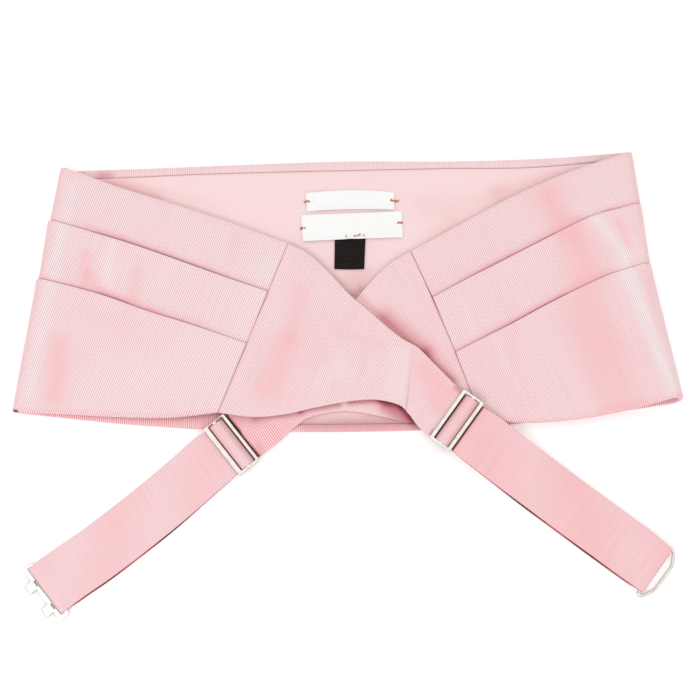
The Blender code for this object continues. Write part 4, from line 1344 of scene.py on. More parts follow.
    def build(self, wardrobe: Wardrobe) -> Piece:
        """Makes the cloth, with the tones and shades of its middle, and lets it stand for the solid. The
        marks there are for the turned edges, and fade out through the wall towards the pleated face."""
        form = self.form
        shell = form.sweep(self.knots(), self.openings())
        middle = (1 - form.on_right - form.on_left)[:, None]
        x, y, z = shell.rings[..., 0], shell.rings[..., 1], shell.rings[..., 2]
        turned = middle * smooth_step(z / OUTER_WALL)
        shell.tone = shell.tone + self.centre_tone * middle + strokes_at(CENTRE_TONES, x, y) * turned
        shell.ribs = shell.ribs + strokes_at(CENTRE_TONES, x, y, "ribs") * turned
        shell.shade = shell.shade + strokes_at(PANEL_SHADES, x, y) * turned
        panel = shell.object("panel_cloth", wardrobe.faille)
        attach(panel, "root")
        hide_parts("pleated_panel")
        return panel


@dataclass
class Lining:
    """The smooth silk let in between the two turned edges."""

    form: PanelForm
    space: float = 0.1
    face_depth: float = 0.2
    middle_fade: float = 4.0

    def knots(self) -> tuple:
        """The outline: the face against the pleated cloth, then the one that shows."""
        near = -SEAM_GAP
        far = near - LINING_WALL
        up = turning(UPPER_TURNING, self.form.laid[:, 0, 0]) + self.space
        down = -turning(LOWER_TURNING, self.form.laid[:, 3, 0]) - self.space
        return (
            Knot(0, up, up, near, near, 10),
            Knot(1, 0.0, 0.0, near, near, 10),
            Knot(2, 0.0, 0.0, near, near, 20),
            Knot(3, down, down, near, near, 1, 0.0, 0.0, 0.3),
            Knot(3, down, down, far + 0.3, far + 0.3, 1, 0.0, 0.0, 0.3),
            Knot(3, down - 0.3, down - 0.3, far, far, 34),
            Knot(2, 0.0, 0.0, far, far, 18),
            Knot(1, 0.0, 0.0, far, far, 18),
            Knot(0, up + 0.3, up + 0.3, far, far, 1),
            Knot(0, up, up, far + 0.3, far + 0.3, 1, 0.0, 0.0, 0.3),
        )

    def build(self, wardrobe: Wardrobe) -> Piece:
        """Makes the lining, with soft ripples on the face of its middle that shows."""
        form = self.form
        shell = form.sweep(self.knots(), np.zeros(len(form.run)))
        x, y, z = shell.rings[..., 0], shell.rings[..., 1], shell.rings[..., 2]
        middle = (1 - smooth_step(form.free * self.middle_fade))[:, None] * (z > LINING_TOP - self.face_depth)
        shell.rings[..., 2] += strokes_at(LINING_FOLDS, x, y) * middle
        shell.tone = strokes_at(LINING_TONES, x, y) * middle
        shell.shade = shell.shade + strokes_at(LINING_SHADES, x, y) * middle
        lining = shell.object("lining_cloth", wardrobe.lining)
        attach(lining, "root")
        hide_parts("lining")
        return lining


# ---- Sliders ----


@dataclass(frozen=True)
class Slider:
    """A flat frame of three bars that lies on the cloth. The height is its underside's at its middle, roll
    its rise per mm across the strap and pitch along it. Near and far bar say where each one starts and ends
    along the strap, and side bars are the widths of the lower and the upper one."""

    name: str
    x: float
    y: float
    heading: float
    side: Across
    height: float
    roll: float
    pitch: float
    near_bar: tuple
    far_bar: tuple
    side_bars: tuple
    centre_bar: float = 1.6
    half_width: float = 13.7
    half_length: float = 5.9
    thickness: float = 1.0
    strap_width: float = 24.4
    join_inset: float = 0.6
    corner_bend: float = 0.8
    window_bend: float = 0.35
    rounding: float = 0.2

    def join(self) -> float:
        """How far along its strap meets its yoke, under the first bar."""
        return self.near_bar[0] + self.join_inset

    def along(self) -> Grid:
        """The plan direction along the strap towards its end."""
        return direction(self.heading)

    def aside(self) -> Grid:
        """The plan direction across the strap towards its upper edge."""
        return self.side.value * square_to(self.along())

    def placed(self, points: Grid) -> Grid:
        """Points given as distance along, distance across and rise above the bars' underside, placed."""
        plan = np.array([self.x, self.y]) + points[:, :1] * self.along() + points[:, 1:2] * self.aside()
        height = self.height + self.roll * points[:, 1] + self.pitch * points[:, 0] + points[:, 2]
        return np.column_stack([plan, height])

    def build(self, wardrobe: Wardrobe) -> Piece:
        """Makes the frame with its two windows and rounded edges."""
        wide = self.half_width
        low, high = self.side_bars[0] - wide, wide - self.side_bars[1]
        half = self.centre_bar / 2
        windows = []
        for near, far in ((self.near_bar[1], -half), (half, self.far_bar[0])):
            windows.append(rounded_box((near, low), (far, high), self.window_bend, 4))
        outline = rounded_box((self.near_bar[0], -wide), (self.far_bar[1], wide), self.corner_bend, 6)
        points, faces = stamped(outline, windows, self.thickness, self.rounding)
        piece = mesh_object(self.name + "_frame", self.placed(points), faces, wardrobe.nickel, METAL_SHARP)
        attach(piece, "root")
        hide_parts(self.name)
        return piece


def rounded(corners: list, bend: float, steps: int) -> Grid:
    """A closed line with rounded corners.

    Args:
        corners: its plane corners in order.
        bend: how far from each corner its rounding starts.
        steps: the points on each rounding, a quadratic curve.

    Returns:
        The line's points.
    """
    corners = np.asarray(corners, float)
    before = np.roll(corners, 1, axis=0) - corners
    after = np.roll(corners, -1, axis=0) - corners
    shorter = np.minimum(np.linalg.norm(before, axis=1), np.linalg.norm(after, axis=1))
    cut = np.minimum(bend, LONGEST_CUT * shorter)
    start = corners + unit(before) * cut[:, None]
    end = corners + unit(after) * cut[:, None]
    t = np.linspace(0.0, 1.0, steps)[None, :, None]
    bent = (1 - t) ** 2 * start[:, None] + 2 * t * (1 - t) * corners[:, None] + t**2 * end[:, None]
    return bent.reshape(-1, 2)


def rounded_box(low: tuple, high: tuple, bend: float, steps: int) -> Grid:
    """A rectangle between its lowest and its highest corner, rounded in the same way."""
    return rounded([low, (high[0], low[1]), high, (low[0], high[1])], bend, steps)


def stamped(outline: Grid, windows: list, thickness: float, rounding: float) -> tuple:
    """A flat plate with windows and rounded edges, from a filled curve turned into a mesh.

    Args:
        outline: the plate's closed outline.
        windows: the closed outlines of its windows.
        thickness: from its underside at 0 to its top.
        rounding: the radius of its edges.

    Returns:
        Its points in millimetres and its faces.
    """
    curve = bpy.data.curves.new("stamping", "CURVE")
    curve.dimensions = "2D"
    curve.fill_mode = "BOTH"
    curve.extrude = thickness / 2 - rounding
    curve.bevel_depth = rounding
    curve.bevel_resolution = BEVEL_STEPS
    curve.offset = -rounding
    for line in [outline, *windows]:
        spline = curve.splines.new("POLY")
        spline.points.add(len(line) - 1)
        flat = np.column_stack([line, np.zeros(len(line)), np.ones(len(line))])
        spline.points.foreach_set("co", flat.ravel())
        spline.use_cyclic_u = True
    blank = bpy.data.objects.new("stamping", curve)
    bpy.context.scene.collection.objects.link(blank)
    mesh = bpy.data.meshes.new_from_object(blank.evaluated_get(bpy.context.evaluated_depsgraph_get()))
    shape = bmesh.new()
    shape.from_mesh(mesh)
    bmesh.ops.remove_doubles(shape, verts=shape.verts, dist=MERGE_DISTANCE)
    shape.to_mesh(mesh)
    shape.free()
    places = np.empty(3 * len(mesh.vertices), dtype=np.float32)
    mesh.vertices.foreach_get("co", places)
    points = places.reshape(-1, 3).astype(float)
    points[:, 2] += thickness / 2
    faces = [list(face.vertices) for face in mesh.polygons]
    bpy.data.objects.remove(blank, do_unlink=True)
    bpy.data.curves.remove(curve)
    bpy.data.meshes.remove(mesh)
    return points, faces


# ---- Yokes ----


@dataclass
class Yoke:
    """A tapering end: a sheet through its sections, from the seam with its wing to its slider. Its ribs turn
    from one angle to another at a crease across it."""

    name: str
    wing: tuple
    hand: Hand
    table: tuple
    slider: Slider
    folds: tuple
    tones: tuple
    shades: tuple
    rib_angle: float
    end_rib_angle: float
    crease: float
    tone: float
    seam_bow: float = 0.0
    steps: int = 150
    seam_step: float = 0.008
    crease_level: float = -36.0
    crease_lean: float = 0.127
    crease_width: float = 0.8
    end_fade: float = 6.0
    seam_fade: float = 8.0
    edge_shade: float = 0.06
    under_shade: float = 0.25

    def seam_section(self) -> tuple:
        """The first section, stitched close to the end of its wing."""
        last = self.wing[-1]
        upper = np.array([last.upper_x, last.upper_y])
        lower = np.array([last.lower_x, last.lower_y])
        away = square_to(unit(lower - upper))
        away *= math.copysign(STITCHED_GAP, -away[0] * self.hand.value)
        flush = OUTER_WALL - YOKE_WALL / 2
        return (*(upper + away), *(lower + away), last.upper_height + flush, last.lower_height + flush)

    def last_section(self) -> tuple:
        """The last section, stitched close to the strap under the slider's first bar."""
        distance = self.slider.join() - STITCHED_GAP
        rise = -LAYER_GAP - STRAP_WALL / 2
        half = self.slider.strap_width / 2
        upper, lower = self.slider.placed(np.array([(distance, half, rise), (distance, -half, rise)]))
        return (*upper[:2], *lower[:2], upper[2], lower[2])

    def laid(self, plan: Grid) -> Grid:
        """The place on the flat cloth: the plan from the crease's middle, turned to the ribs. They swing
        round by a smooth step across the crease, a slightly leaning line."""
        place = -self.hand.value * plan[..., 0] - self.crease_lean * (plan[..., 1] - self.crease_level)
        swing = smooth_step((place - self.crease) / self.crease_width + 0.5)
        middle = np.array([-self.hand.value * self.crease, self.crease_level])
        first = turned_to(plan - middle, self.rib_angle)
        second = turned_to(plan - middle, self.end_rib_angle)
        return first + (second - first) * swing[..., None]

    def shell(self) -> Shell:
        """The sheet: on each section, points from its upper to its lower edge with round edges, moved off
        the middle surface along its normal by half the wall, which thins evenly towards the slider. The
        seam's line dips and bows by a parabola, and the soft folds fade at both ends."""
        sections = np.array([self.seam_section(), *self.table, self.last_section()])
        near = 1.0 - close_to_end(self.steps, self.seam_step)[::-1]
        rows = curve_at(sections, near * (len(sections) - 1))
        cut = round_cut(46, 6)
        upper = rows[:, [0, 1, 4]]
        lower = rows[:, [2, 3, 5]]
        share = cut.share[None, :, None]
        run = lower - upper
        wall = np.linspace(YOKE_WALL, STRAP_WALL, len(rows))[:, None, None]
        offset = cut.offset[None, :, None] * wall / 2
        middle = upper[:, None] + run[:, None] * share + unit(run)[:, None] * offset
        slope_upper = np.gradient(upper, axis=0)[:, None]
        slope_lower = np.gradient(lower, axis=0)[:, None]
        normal = unit(np.cross(slope_upper * (1 - share) + slope_lower * share, run[:, None]))
        normal = normal * np.sign(normal[..., 2:3])
        rings = middle + normal * cut.rise[None, :, None] * wall / 2
        start = np.linalg.norm(upper - upper[0], axis=1)[:, None]
        ditch = seam_shade(start) * (cut.rise > 0)
        rings[..., 2] -= SEAM_DIP * ditch
        rings[..., 0] += self.seam_bow * 4 * cut.share * (1 - cut.share) * smooth_step(1 - start / BOW_REACH)
        x, y = rings[..., 0], rings[..., 1]
        from_end = smooth_step(np.linalg.norm(upper - upper[-1], axis=1)[:, None] / self.end_fade)
        rings[..., 2] += strokes_at(self.folds, x, y) * smooth_step(start / self.seam_fade) * from_end
        edge_shade = self.edge_shade * (1 - np.abs(cut.rise)) + self.under_shade * (cut.rise < 0)
        return Shell(
            rings,
            self.laid(rings[..., :2]),
            self.tone + strokes_at(self.tones, x, y),
            strokes_at(self.shades, x, y) + edge_shade + ditch,
            1.0 + strokes_at(self.tones, x, y, "ribs"),
        )

    def build(self, wardrobe: Wardrobe) -> Piece:
        """Makes the yoke and lets it stand for its solid."""
        piece = self.shell().object(self.name + "_cloth", wardrobe.faille)
        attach(piece, "root")
        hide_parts(self.name)
        return piece


# ---- Straps ----


@dataclass
class Strap:
    """A strap: under, over and under its slider's bars, out to its end fitting and back beneath itself. The
    route is its middle line past the slider. Ground is what it lies on: distance along it, height of the
    floor, and rise per mm across. A shade has its distance along the strap, half width and strength. The
    pairs below say where a change starts and over how long a stretch it comes."""

    name: str
    slider: Slider
    route: tuple
    ground: tuple
    narrowing: float
    under_shift: float
    rib_angle: float
    shades: tuple
    tone: float
    ribs: float
    blur: float
    width: float = 25.6
    loop_radius: float = 1.3
    rise_length: float = 14.0
    straight: float = 14.0
    line_points: int = 400
    plane_reach: float = 9.0
    bar_reach: float = 4.05
    bar_slope: float = 3.3
    dense_end: float = 6.85
    dense_next: float = 7.05
    under_start: float = 4.0
    widening: tuple = (6.2, 6.0)
    taper: float = 16.0
    shift_in: tuple = (9.0, 45.0)
    shift_out: float = 12.0
    blur_in: tuple = (14.0, 30.0)
    blur_out: tuple = (8.0, 16.0)
    edge_shade: float = 0.05
    under_shade: float = 0.70
    under_uneven: float = 0.20
    covered_from: float = 0.4
    loop_rows: tuple = (12, 8)
    tone_swing: float = 0.12

    def line(self) -> tuple:
        """The middle line past the slider as close points, and the distance of each one along it."""
        start = np.array([self.slider.x, self.slider.y])
        knots = [start, start + self.slider.along() * self.straight, *np.array(self.route)]
        points = curve_at(knots, np.linspace(0, len(knots) - 1, self.line_points))
        steps = np.linalg.norm(np.diff(points, axis=0), axis=1)
        return points, np.concatenate([[0.0], np.cumsum(steps)])

    def length(self) -> float:
        """From the slider's middle to the strap's end."""
        return float(self.line()[1][-1])

    def stations(self) -> Grid:
        """The ground's rows, with the slider's own plane before them and the flat table after them."""
        slider = self.slider
        reach = self.plane_reach
        floor = slider.height - STRAP_WALL * 2 - 2 * LAYER_GAP
        near = (-reach, floor - reach * slider.pitch, slider.roll)
        far = (reach, floor + reach * slider.pitch, slider.roll)
        return np.array([near, far, *self.ground, (self.length() + self.straight, 0.0, 0.0)])

    def side_view(self) -> tuple:
        """The strap seen from its side.

        Returns:
            Distance and height of its middle along its whole course, and the count of points on its upper
            layer. The course rises over the centre bar and towards the end by smooth steps, and turns back
            on a half circle. Its points are closest together at the slider.
        """
        slider = self.slider
        stations = self.stations()
        double = STRAP_WALL * 1.5 + LAYER_GAP
        end = self.length() - self.loop_radius - STRAP_WALL / 2
        before_bar = np.linspace(slider.join(), -self.bar_reach, 6)[:-1]
        at_bar = np.linspace(-self.bar_reach, self.dense_end, 60)
        upper = np.concatenate([before_bar, at_bar, np.linspace(self.dense_next, end, 140)])
        over_bar = 2 * LAYER_GAP + slider.thickness + STRAP_WALL
        rise = over_bar * smooth_step((self.bar_reach - np.abs(upper)) / self.bar_slope)
        lift = 2 * self.loop_radius + STRAP_WALL / 2 - double
        rise += lift * smooth_step((upper - end + self.rise_length) / self.rise_length)
        upper_height = np.interp(upper, stations[:, 0], stations[:, 1]) + double + rise
        turn = np.linspace(math.pi / 2, -math.pi / 2, 15)[1:-1]
        loop = end + self.loop_radius * np.cos(turn)
        loop_height = STRAP_WALL / 2 + self.loop_radius * (1 + np.sin(turn))
        lower = np.linspace(end, self.under_start, 120)
        lower_height = np.interp(lower, stations[:, 0], stations[:, 1]) + STRAP_WALL / 2
        distance = np.concatenate([upper, loop, lower])
        height = np.concatenate([upper_height, loop_height, lower_height])
        return np.stack([distance, height], axis=-1), len(upper)

    def placed(self, distance: Grid) -> tuple:
        """The plan point and the direction across the strap at each distance along it, read off the middle
        line, and off the slider's own straight line before it."""
        line, lengths = self.line()
        tangents = unit(np.gradient(line, axis=0))
        place = np.stack([np.interp(distance, lengths, values) for values in line.T], axis=-1)
        tangent = unit(np.stack([np.interp(distance, lengths, values) for values in tangents.T], axis=-1))
        along = self.slider.along()
        before = (distance < self.slider.half_length)[..., None]
        past = np.maximum(distance - lengths[-1], 0.0)[..., None]
        place = np.where(before, line[0] + along * distance[..., None], place + tangent * past)
        tangent = np.where(before, along, tangent)
        return place, self.slider.side.value * square_to(tangent)

    def shell(self) -> Shell:
        """The strap: its side view given thickness, carried across its width with round edges."""
        length = self.length()
        stations = self.stations()
        path, upper_count = self.side_view()
        cut = round_cut(26, 5)
        shifted = thickened(path, cut, STRAP_WALL)
        distance = shifted[..., 0]
        place, aside = self.placed(distance)
        roll = np.interp(distance, stations[:, 0], stations[:, 2])
        widened = rising(np.abs(distance), *self.widening)
        narrow = self.slider.strap_width
        half = (narrow + (self.width - narrow) * widened) / 2
        upper_half = half - self.narrowing * smooth_step((distance - length + self.taper) / self.taper)
        is_under = (np.arange(len(path)) >= upper_count)[:, None]
        slide = rising(distance, *self.shift_in) * smooth_step((length - distance) / self.shift_out)
        across = upper_half + (-half - upper_half) * cut.share - cut.offset * STRAP_WALL / 2
        across = across - self.under_shift * slide * is_under
        plan = place + aside * across[..., None]
        height = shifted[..., 1] + roll * across
        rings = np.concatenate([plan, height[..., None]], axis=-1)
        shade = self.hidden_shade(distance, cut, np.arange(len(path)) - upper_count)
        for centre, half_width, strength in self.shades:
            shade = shade + strength * np.exp(-(((distance - centre) / half_width) ** 2)) * ~is_under
        tone = self.tone + self.tone_swing * np.sin(distance / 9.0 + across / 11.0)
        blur = rising(distance, *self.blur_in) * rising(length - distance, *self.blur_out)
        return Shell(rings, turned_to(plan, self.rib_angle), tone, shade, self.ribs * (1 - self.blur * blur))

    def hidden_shade(self, distance: Grid, cut: Cut, past_top: Grid) -> Grid:
        """The shade of the lower layer's edges and upper face, and of every edge.

        Args:
            distance: of each point along the strap.
            cut: the outline of its cut.
            past_top: how many rows each row is past the upper layer's last.

        Returns:
            The shade, uneven by a sine along the strap.
        """
        past_loop = rising(past_top, *self.loop_rows)[:, None]
        covered = 1 - smooth_step((cut.rise - self.covered_from) / (1 - self.covered_from))
        uneven = self.under_shade + self.under_uneven * np.sin(distance / 6.0)
        return uneven * past_loop * covered + self.edge_shade * (1 - np.abs(cut.rise))

    def build(self, wardrobe: Wardrobe) -> Piece:
        """Makes the strap and lets it stand for its solid."""
        piece = self.shell().object(self.name + "_cloth", wardrobe.strap_faille)
        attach(piece, "root")
        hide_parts(self.name)
        return piece

    def end_placed(self, points: Grid) -> Grid:
        """Points given as out from the strap's end, across it and height, placed."""
        line, lengths = self.line()
        place, aside = self.placed(lengths[-1:])
        out = unit(line[-1] - line[-2])
        plan = place[0] + points[:, :1] * out + points[:, 1:2] * aside[0]
        return np.column_stack([plan, points[:, 2]])


# ---- End fittings ----


@dataclass
class HookPlate:
    """A slotted plate round the strap's end, with two tongues curled back under it. Sides are across the
    strap; bar, slot and rail are the plate's widths from the strap's inner side outwards."""

    strap: Strap
    thickness: float = 0.8
    sides: tuple = (-15.1, 14.4)
    slot_sides: tuple = (-13.1, 13.1)
    bar: float = 1.6
    slot: float = 1.8
    rail: float = 2.1
    corner_bend: float = 1.3
    slot_bend: float = 0.4
    hole_bend: float = 0.25
    hole_half: float = 1.4
    hole_span: tuple = (0.4, 1.1)
    rounding: float = 0.25
    tongues: tuple = (-7.6, 5.4)
    tongue_width: float = 4.7
    tongue_thickness: float = 0.7
    tongue_root: float = 1.4
    tongue_straight: float = 0.8
    tongue_reach: float = 6.4
    tongue_radius: float = 0.65
    tongue_end: float = 1.2

    def tongue(self, place: float, level: float) -> tuple:
        """One tongue: a strip with round edges along a straight run, a half circle and a short return.

        Args:
            place: its middle across the strap.
            level: the height of its straight run's middle.

        Returns:
            Its points, as out from the strap's end, across it and height, and its faces.
        """
        turn = np.linspace(math.pi / 2, -math.pi / 2, 13)
        radius = self.tongue_radius
        curl = self.tongue_reach - self.thickness / 2 - radius
        bend = np.stack([curl + radius * np.cos(turn), level - radius * (1 - np.sin(turn))], axis=-1)
        straight, low = curl - self.tongue_straight, level - 2 * radius
        start = np.array([(SEAM_GAP + self.tongue_root, level), (straight, level)])
        end = np.array([(straight, low), (self.tongue_end, low)])
        cut = round_cut(4, 4)
        shifted = thickened(np.concatenate([start, bend, end]), cut, self.tongue_thickness)
        half = self.tongue_width / 2
        across = place + half - 2 * half * cut.share - cut.offset * self.tongue_thickness / 2
        across = np.broadcast_to(across, shifted.shape[:2])
        points = np.stack([shifted[..., 0], across, shifted[..., 1]], axis=-1)
        return points.reshape(-1, 3), ring_faces(points)

    def build(self, wardrobe: Wardrobe) -> Piece:
        """Makes the plate and both tongues as one piece."""
        level = STRAP_WALL / 2 + self.strap.loop_radius
        front = SEAM_GAP
        back = front - self.slot
        low, high = self.sides
        outline = rounded_box((back - self.bar, low), (front + self.rail, high), self.corner_bend, 8)
        low, high = self.slot_sides
        windows = [rounded_box((back, low), (front, high), self.slot_bend, 4)]
        near, far = (front + shift for shift in self.hole_span)
        for place in self.tongues:
            low, high = place - self.hole_half, place + self.hole_half
            windows.append(rounded_box((near, low), (far, high), self.hole_bend, 4))
        points, faces = stamped(outline, windows, self.thickness, self.rounding)
        points[:, 2] += level - self.thickness / 2
        for place in self.tongues:
            more, more_faces = self.tongue(place, level)
            shift = len(points)
            points = np.concatenate([points, more])
            faces += [[index + shift for index in face] for face in more_faces]
        placed = self.strap.end_placed(points)
        piece = mesh_object("hook_fitting", placed, faces, wardrobe.plated, METAL_SHARP)
        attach(piece, "root")
        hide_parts("hook_plate")
        return piece


@dataclass
class WireEye:
    """A round wire bent to a closed loop that passes through the strap's end. Its corners are given across
    the strap and out from its end."""

    strap: Strap
    radius: float = 0.6
    bend: float = 1.4
    shortest_step: float = 0.02
    corners: tuple = ((-14.4, -1.8), (11.2, -1.8), (11.2, 0.4), (5.2, 3.7), (-8.6, 3.4), (-14.4, 0.3))

    def build(self, wardrobe: Wardrobe) -> Piece:
        """Makes the wire: a circle of 16 points carried round the closed line."""
        line = rounded([(out, across) for across, out in self.corners], self.bend, 8)
        step = np.linalg.norm(line - np.roll(line, 1, axis=0), axis=1)
        line = line[step > self.shortest_step]
        side = square_to(unit(np.roll(line, -1, axis=0) - np.roll(line, 1, axis=0)))
        turn = np.arange(16) * 2 * math.pi / 16
        plan = line[:, None] + side[:, None] * (self.radius * np.cos(turn))[None, :, None]
        level = STRAP_WALL / 2 + self.strap.loop_radius + self.radius * np.sin(turn)
        level = np.broadcast_to(level, plan.shape[:2])
        points = np.concatenate([plan, level[..., None]], axis=-1)
        placed = self.strap.end_placed(points.reshape(-1, 3))
        faces = ring_faces(points, endless=True)
        piece = mesh_object("eye_wire", placed, faces, wardrobe.nickel, PLAIN_SHARP)
        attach(piece, "root")
        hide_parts("wire_eye")
        return piece


# ---- Labels ----


@dataclass
class Label:
    """A bare woven label on the lining. Its top and bottom edges each run through three points, and curls
    are the strokes along which it lifts."""

    name: str
    top: tuple
    bottom: tuple
    curls: tuple
    slot: str
    wall: float = 0.35
    base: float = LINING_TOP + SEAM_GAP
    end_shade: float = 0.8
    end_width: float = 0.012
    edge_shade: float = 0.5

    def build(self, material: Material) -> Piece:
        """Makes the label: rows from end to end on parabolas through each edge's three points, and a soft
        rise where it lifts off the lining."""
        s = np.linspace(0.0, 1.0, 60)
        weights = np.stack([(1 - s) * (1 - 2 * s), 4 * s * (1 - s), s * (2 * s - 1)], axis=-1)
        top = weights @ np.array(self.top)
        bottom = weights @ np.array(self.bottom)
        cut = round_cut(24, 4)
        run = (bottom - top)[:, None]
        plan = top[:, None] + run * cut.share[None, :, None]
        plan = plan + unit(run) * cut.offset[None, :, None] * self.wall / 2
        lift = np.maximum(strokes_at(self.curls, plan[..., 0], plan[..., 1]), 0.0)
        height = self.base + self.wall / 2 + lift + cut.rise * self.wall / 2
        rings = np.concatenate([plan, height[..., None]], axis=-1)
        ends = np.minimum(s, 1 - s)[:, None] * np.ones_like(height)
        shade = self.end_shade * np.exp(-((ends / self.end_width) ** 2))
        shade = shade + self.edge_shade * (1 - np.abs(cut.rise))
        shell = Shell(rings, plan, np.zeros_like(shade), np.clip(shade, 0.0, 1.0))
        piece = shell.object(self.name + "_cloth", material)
        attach(piece, "root")
        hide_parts(self.name)
        return piece


@dataclass
class BarTacks:
    """The tacks that hold the labels: a few strands of thread side by side over each end. A tack's row is its
    place, length, turn in degrees, count of strands and lift."""

    base: float = LINING_TOP + SEAM_GAP + 0.5
    radius: float = 0.17
    spacing: float = 1.7
    round_points: int = 8
    depth: float = 1.1
    wobble: float = 0.16
    girth: float = 1.2
    tacks: tuple = (
        (-20.4, 45.2, 3.4, 4.0, 3, 0.0),
        (20.4, 45.7, 3.6, -14.0, 3, 0.0),
        (22.2, 45.4, 2.6, 12.0, 2, 0.0),
        (-22.2, 32.2, 3.2, 2.0, 2, 0.0),
        (-22.9, 32.1, 1.4, 8.0, 4, 0.0),
        (23.6, 34.8, 3.4, 4.0, 3, 0.0),
        (-1.8, 27.8, 1.6, 75.0, 2, 0.6),
        (2.6, 28.2, 2.6, 12.0, 2, 0.55),
        (4.4, 28.8, 1.8, 60.0, 2, 0.5),
        (6.6, 28.5, 1.6, -55.0, 1, 0.5),
    )

    def strand(self, x: float, y: float, length: float, turn: float, offset: float, lift: float) -> Grid:
        """One strand: circles along a low arch whose ends are pushed into the cloth.

        Args:
            x, y, length, turn, lift: its tack's.
            offset: how far it lies aside of the tack's middle.

        Returns:
            Its rings. Their line wobbles by a sine, and drops by the sixth power of the way to its ends.
        """
        run = np.linspace(-0.5, 0.5, 13)
        along, aside = direction(turn), direction(turn + 90.0)
        wobble = self.wobble * np.sin(run * 7 + offset * 9 + x)
        plan = np.array([x, y]) + np.outer(run * length, along) + np.outer(offset + wobble, aside)
        height = self.base + lift - self.depth * (2 * np.abs(run)) ** 6
        angles = np.arange(self.round_points) * 2 * math.pi / self.round_points
        ring = self.radius * np.stack([np.cos(angles), np.sin(angles)], axis=-1)
        points = np.empty((len(run), self.round_points, 3))
        points[..., :2] = plan[:, None] + ring[None, :, :1] * aside
        points[..., 2] = height[:, None] + ring[None, :, 1]
        return points

    def build(self, wardrobe: Wardrobe) -> Piece:
        """Makes every strand in one mesh, mapped along the strand and round it."""
        points, faces, laid = [], [], []
        for x, y, length, turn, count, lift in self.tacks:
            for number in range(count):
                offset = (number - (count - 1) / 2) * self.spacing * self.radius
                strand = self.strand(x, y, length, turn, offset, lift)
                shape = strand.shape[:2]
                run = np.broadcast_to(np.linspace(0, length, len(strand))[:, None], shape)
                turned = np.broadcast_to(np.linspace(0, self.girth, self.round_points), shape)
                laid.append(np.stack([turned, run], axis=-1).reshape(-1, 2))
                shift = sum(len(part) for part in points)
                faces += [[index + shift for index in face] for face in ring_faces(strand)]
                points.append(strand.reshape(-1, 3))
        piece = mesh_object("tack_threads", np.concatenate(points), faces, wardrobe.thread, PLAIN_SHARP)
        map_cloth(piece.data, np.concatenate(laid))
        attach(piece, "root")
        return piece


# ---- Studio ----


@dataclass
class Studio:
    """The pale table, the soft lights and the camera of the photograph. A lamp's row is its name, place,
    width and power. The table's half width and level are in millimetres, as every mesh's sizes are."""

    target: tuple = (0.0, -0.026, 0.0)
    elevation: float = 80.0
    distance: float = 0.777
    lens: float = 85.0
    sensor: float = 36.0
    horizon: float = 0.55
    zenith: float = 1.10
    table_half: float = 6000.0
    table_level: float = -0.05
    lit_middle: tuple = (0.0, -0.03, 0.0)
    lamps: tuple = (("key", (-0.55, -0.75, 1.05), 0.7, 3.0), ("fill", (0.9, 0.5, 1.1), 1.2, 1.0))

    def build_camera(self) -> None:
        """Places the camera square on and a little forward of straight above."""
        camera = bpy.data.cameras.new("camera")
        camera.lens = self.lens
        camera.sensor_width = self.sensor
        seen = bpy.data.objects.new("camera", camera)
        angle = math.radians(self.elevation)
        back = np.array([0.0, -math.cos(angle), math.sin(angle)]) * self.distance
        seen.location = (np.array(self.target) + back).tolist()
        seen.rotation_euler = (math.pi / 2 - angle, 0.0, 0.0)
        bpy.context.scene.collection.objects.link(seen)
        bpy.context.scene.camera = seen

    def build_table(self) -> None:
        """The plain pale table top, and a soft white world that is brightest overhead."""
        bench = NodeBench("table_top")
        bench.plain(Base_Color=(0.93, 0.93, 0.93, 1.0), Roughness=0.9, Specular_IOR_Level=0.1)
        bench.plain(Emission_Color=(1.0, 1.0, 1.0, 1.0), Emission_Strength=0.2)
        corners = ((-1, -1), (1, -1), (1, 1), (-1, 1))
        points = [(x * self.table_half, y * self.table_half, self.table_level) for x, y in corners]
        table = mesh_object("table_top", np.array(points), [[0, 1, 2, 3]], bench.material, PLAIN_SHARP)
        world = bpy.data.worlds.new("studio")
        bpy.context.scene.world = world
        world.use_nodes = True
        tree = world.node_tree
        place = tree.nodes.new("ShaderNodeTexCoord")
        split = tree.nodes.new("ShaderNodeSeparateXYZ")
        rise = tree.nodes.new("ShaderNodeMapRange")
        rise.inputs["To Min"].default_value = self.horizon
        rise.inputs["To Max"].default_value = self.zenith
        background = tree.nodes["Background"]
        background.inputs["Color"].default_value = (1.0, 0.99, 0.98, 1.0)
        tree.links.new(place.outputs["Generated"], split.inputs[0])
        tree.links.new(split.outputs["Z"], rise.inputs["Value"])
        tree.links.new(rise.outputs[0], background.inputs["Strength"])

    def light(self, name: str, place: tuple, size: float, power: float) -> None:
        """A round soft light of a size and power at a place, turned towards the lit middle."""
        lamp = bpy.data.lights.new(name, "AREA")
        lamp.shape = "DISK"
        lamp.size = size
        lamp.energy = power
        obj = bpy.data.objects.new(name, lamp)
        obj.location = place
        towards = np.array(self.lit_middle) - np.array(place)
        yaw = math.atan2(towards[1], towards[0]) - math.pi / 2
        tilt = math.atan2(-towards[2], math.hypot(towards[0], towards[1]))
        obj.rotation_euler = (math.pi / 2 - tilt, 0.0, yaw)
        bpy.context.scene.collection.objects.link(obj)

    def build(self) -> None:
        """Sets up the camera, the table and the lights."""
        self.build_camera()
        self.build_table()
        for lamp in self.lamps:
            self.light(*lamp)
        bpy.context.scene.view_settings.view_transform = "Standard"


# ---- The garment ----


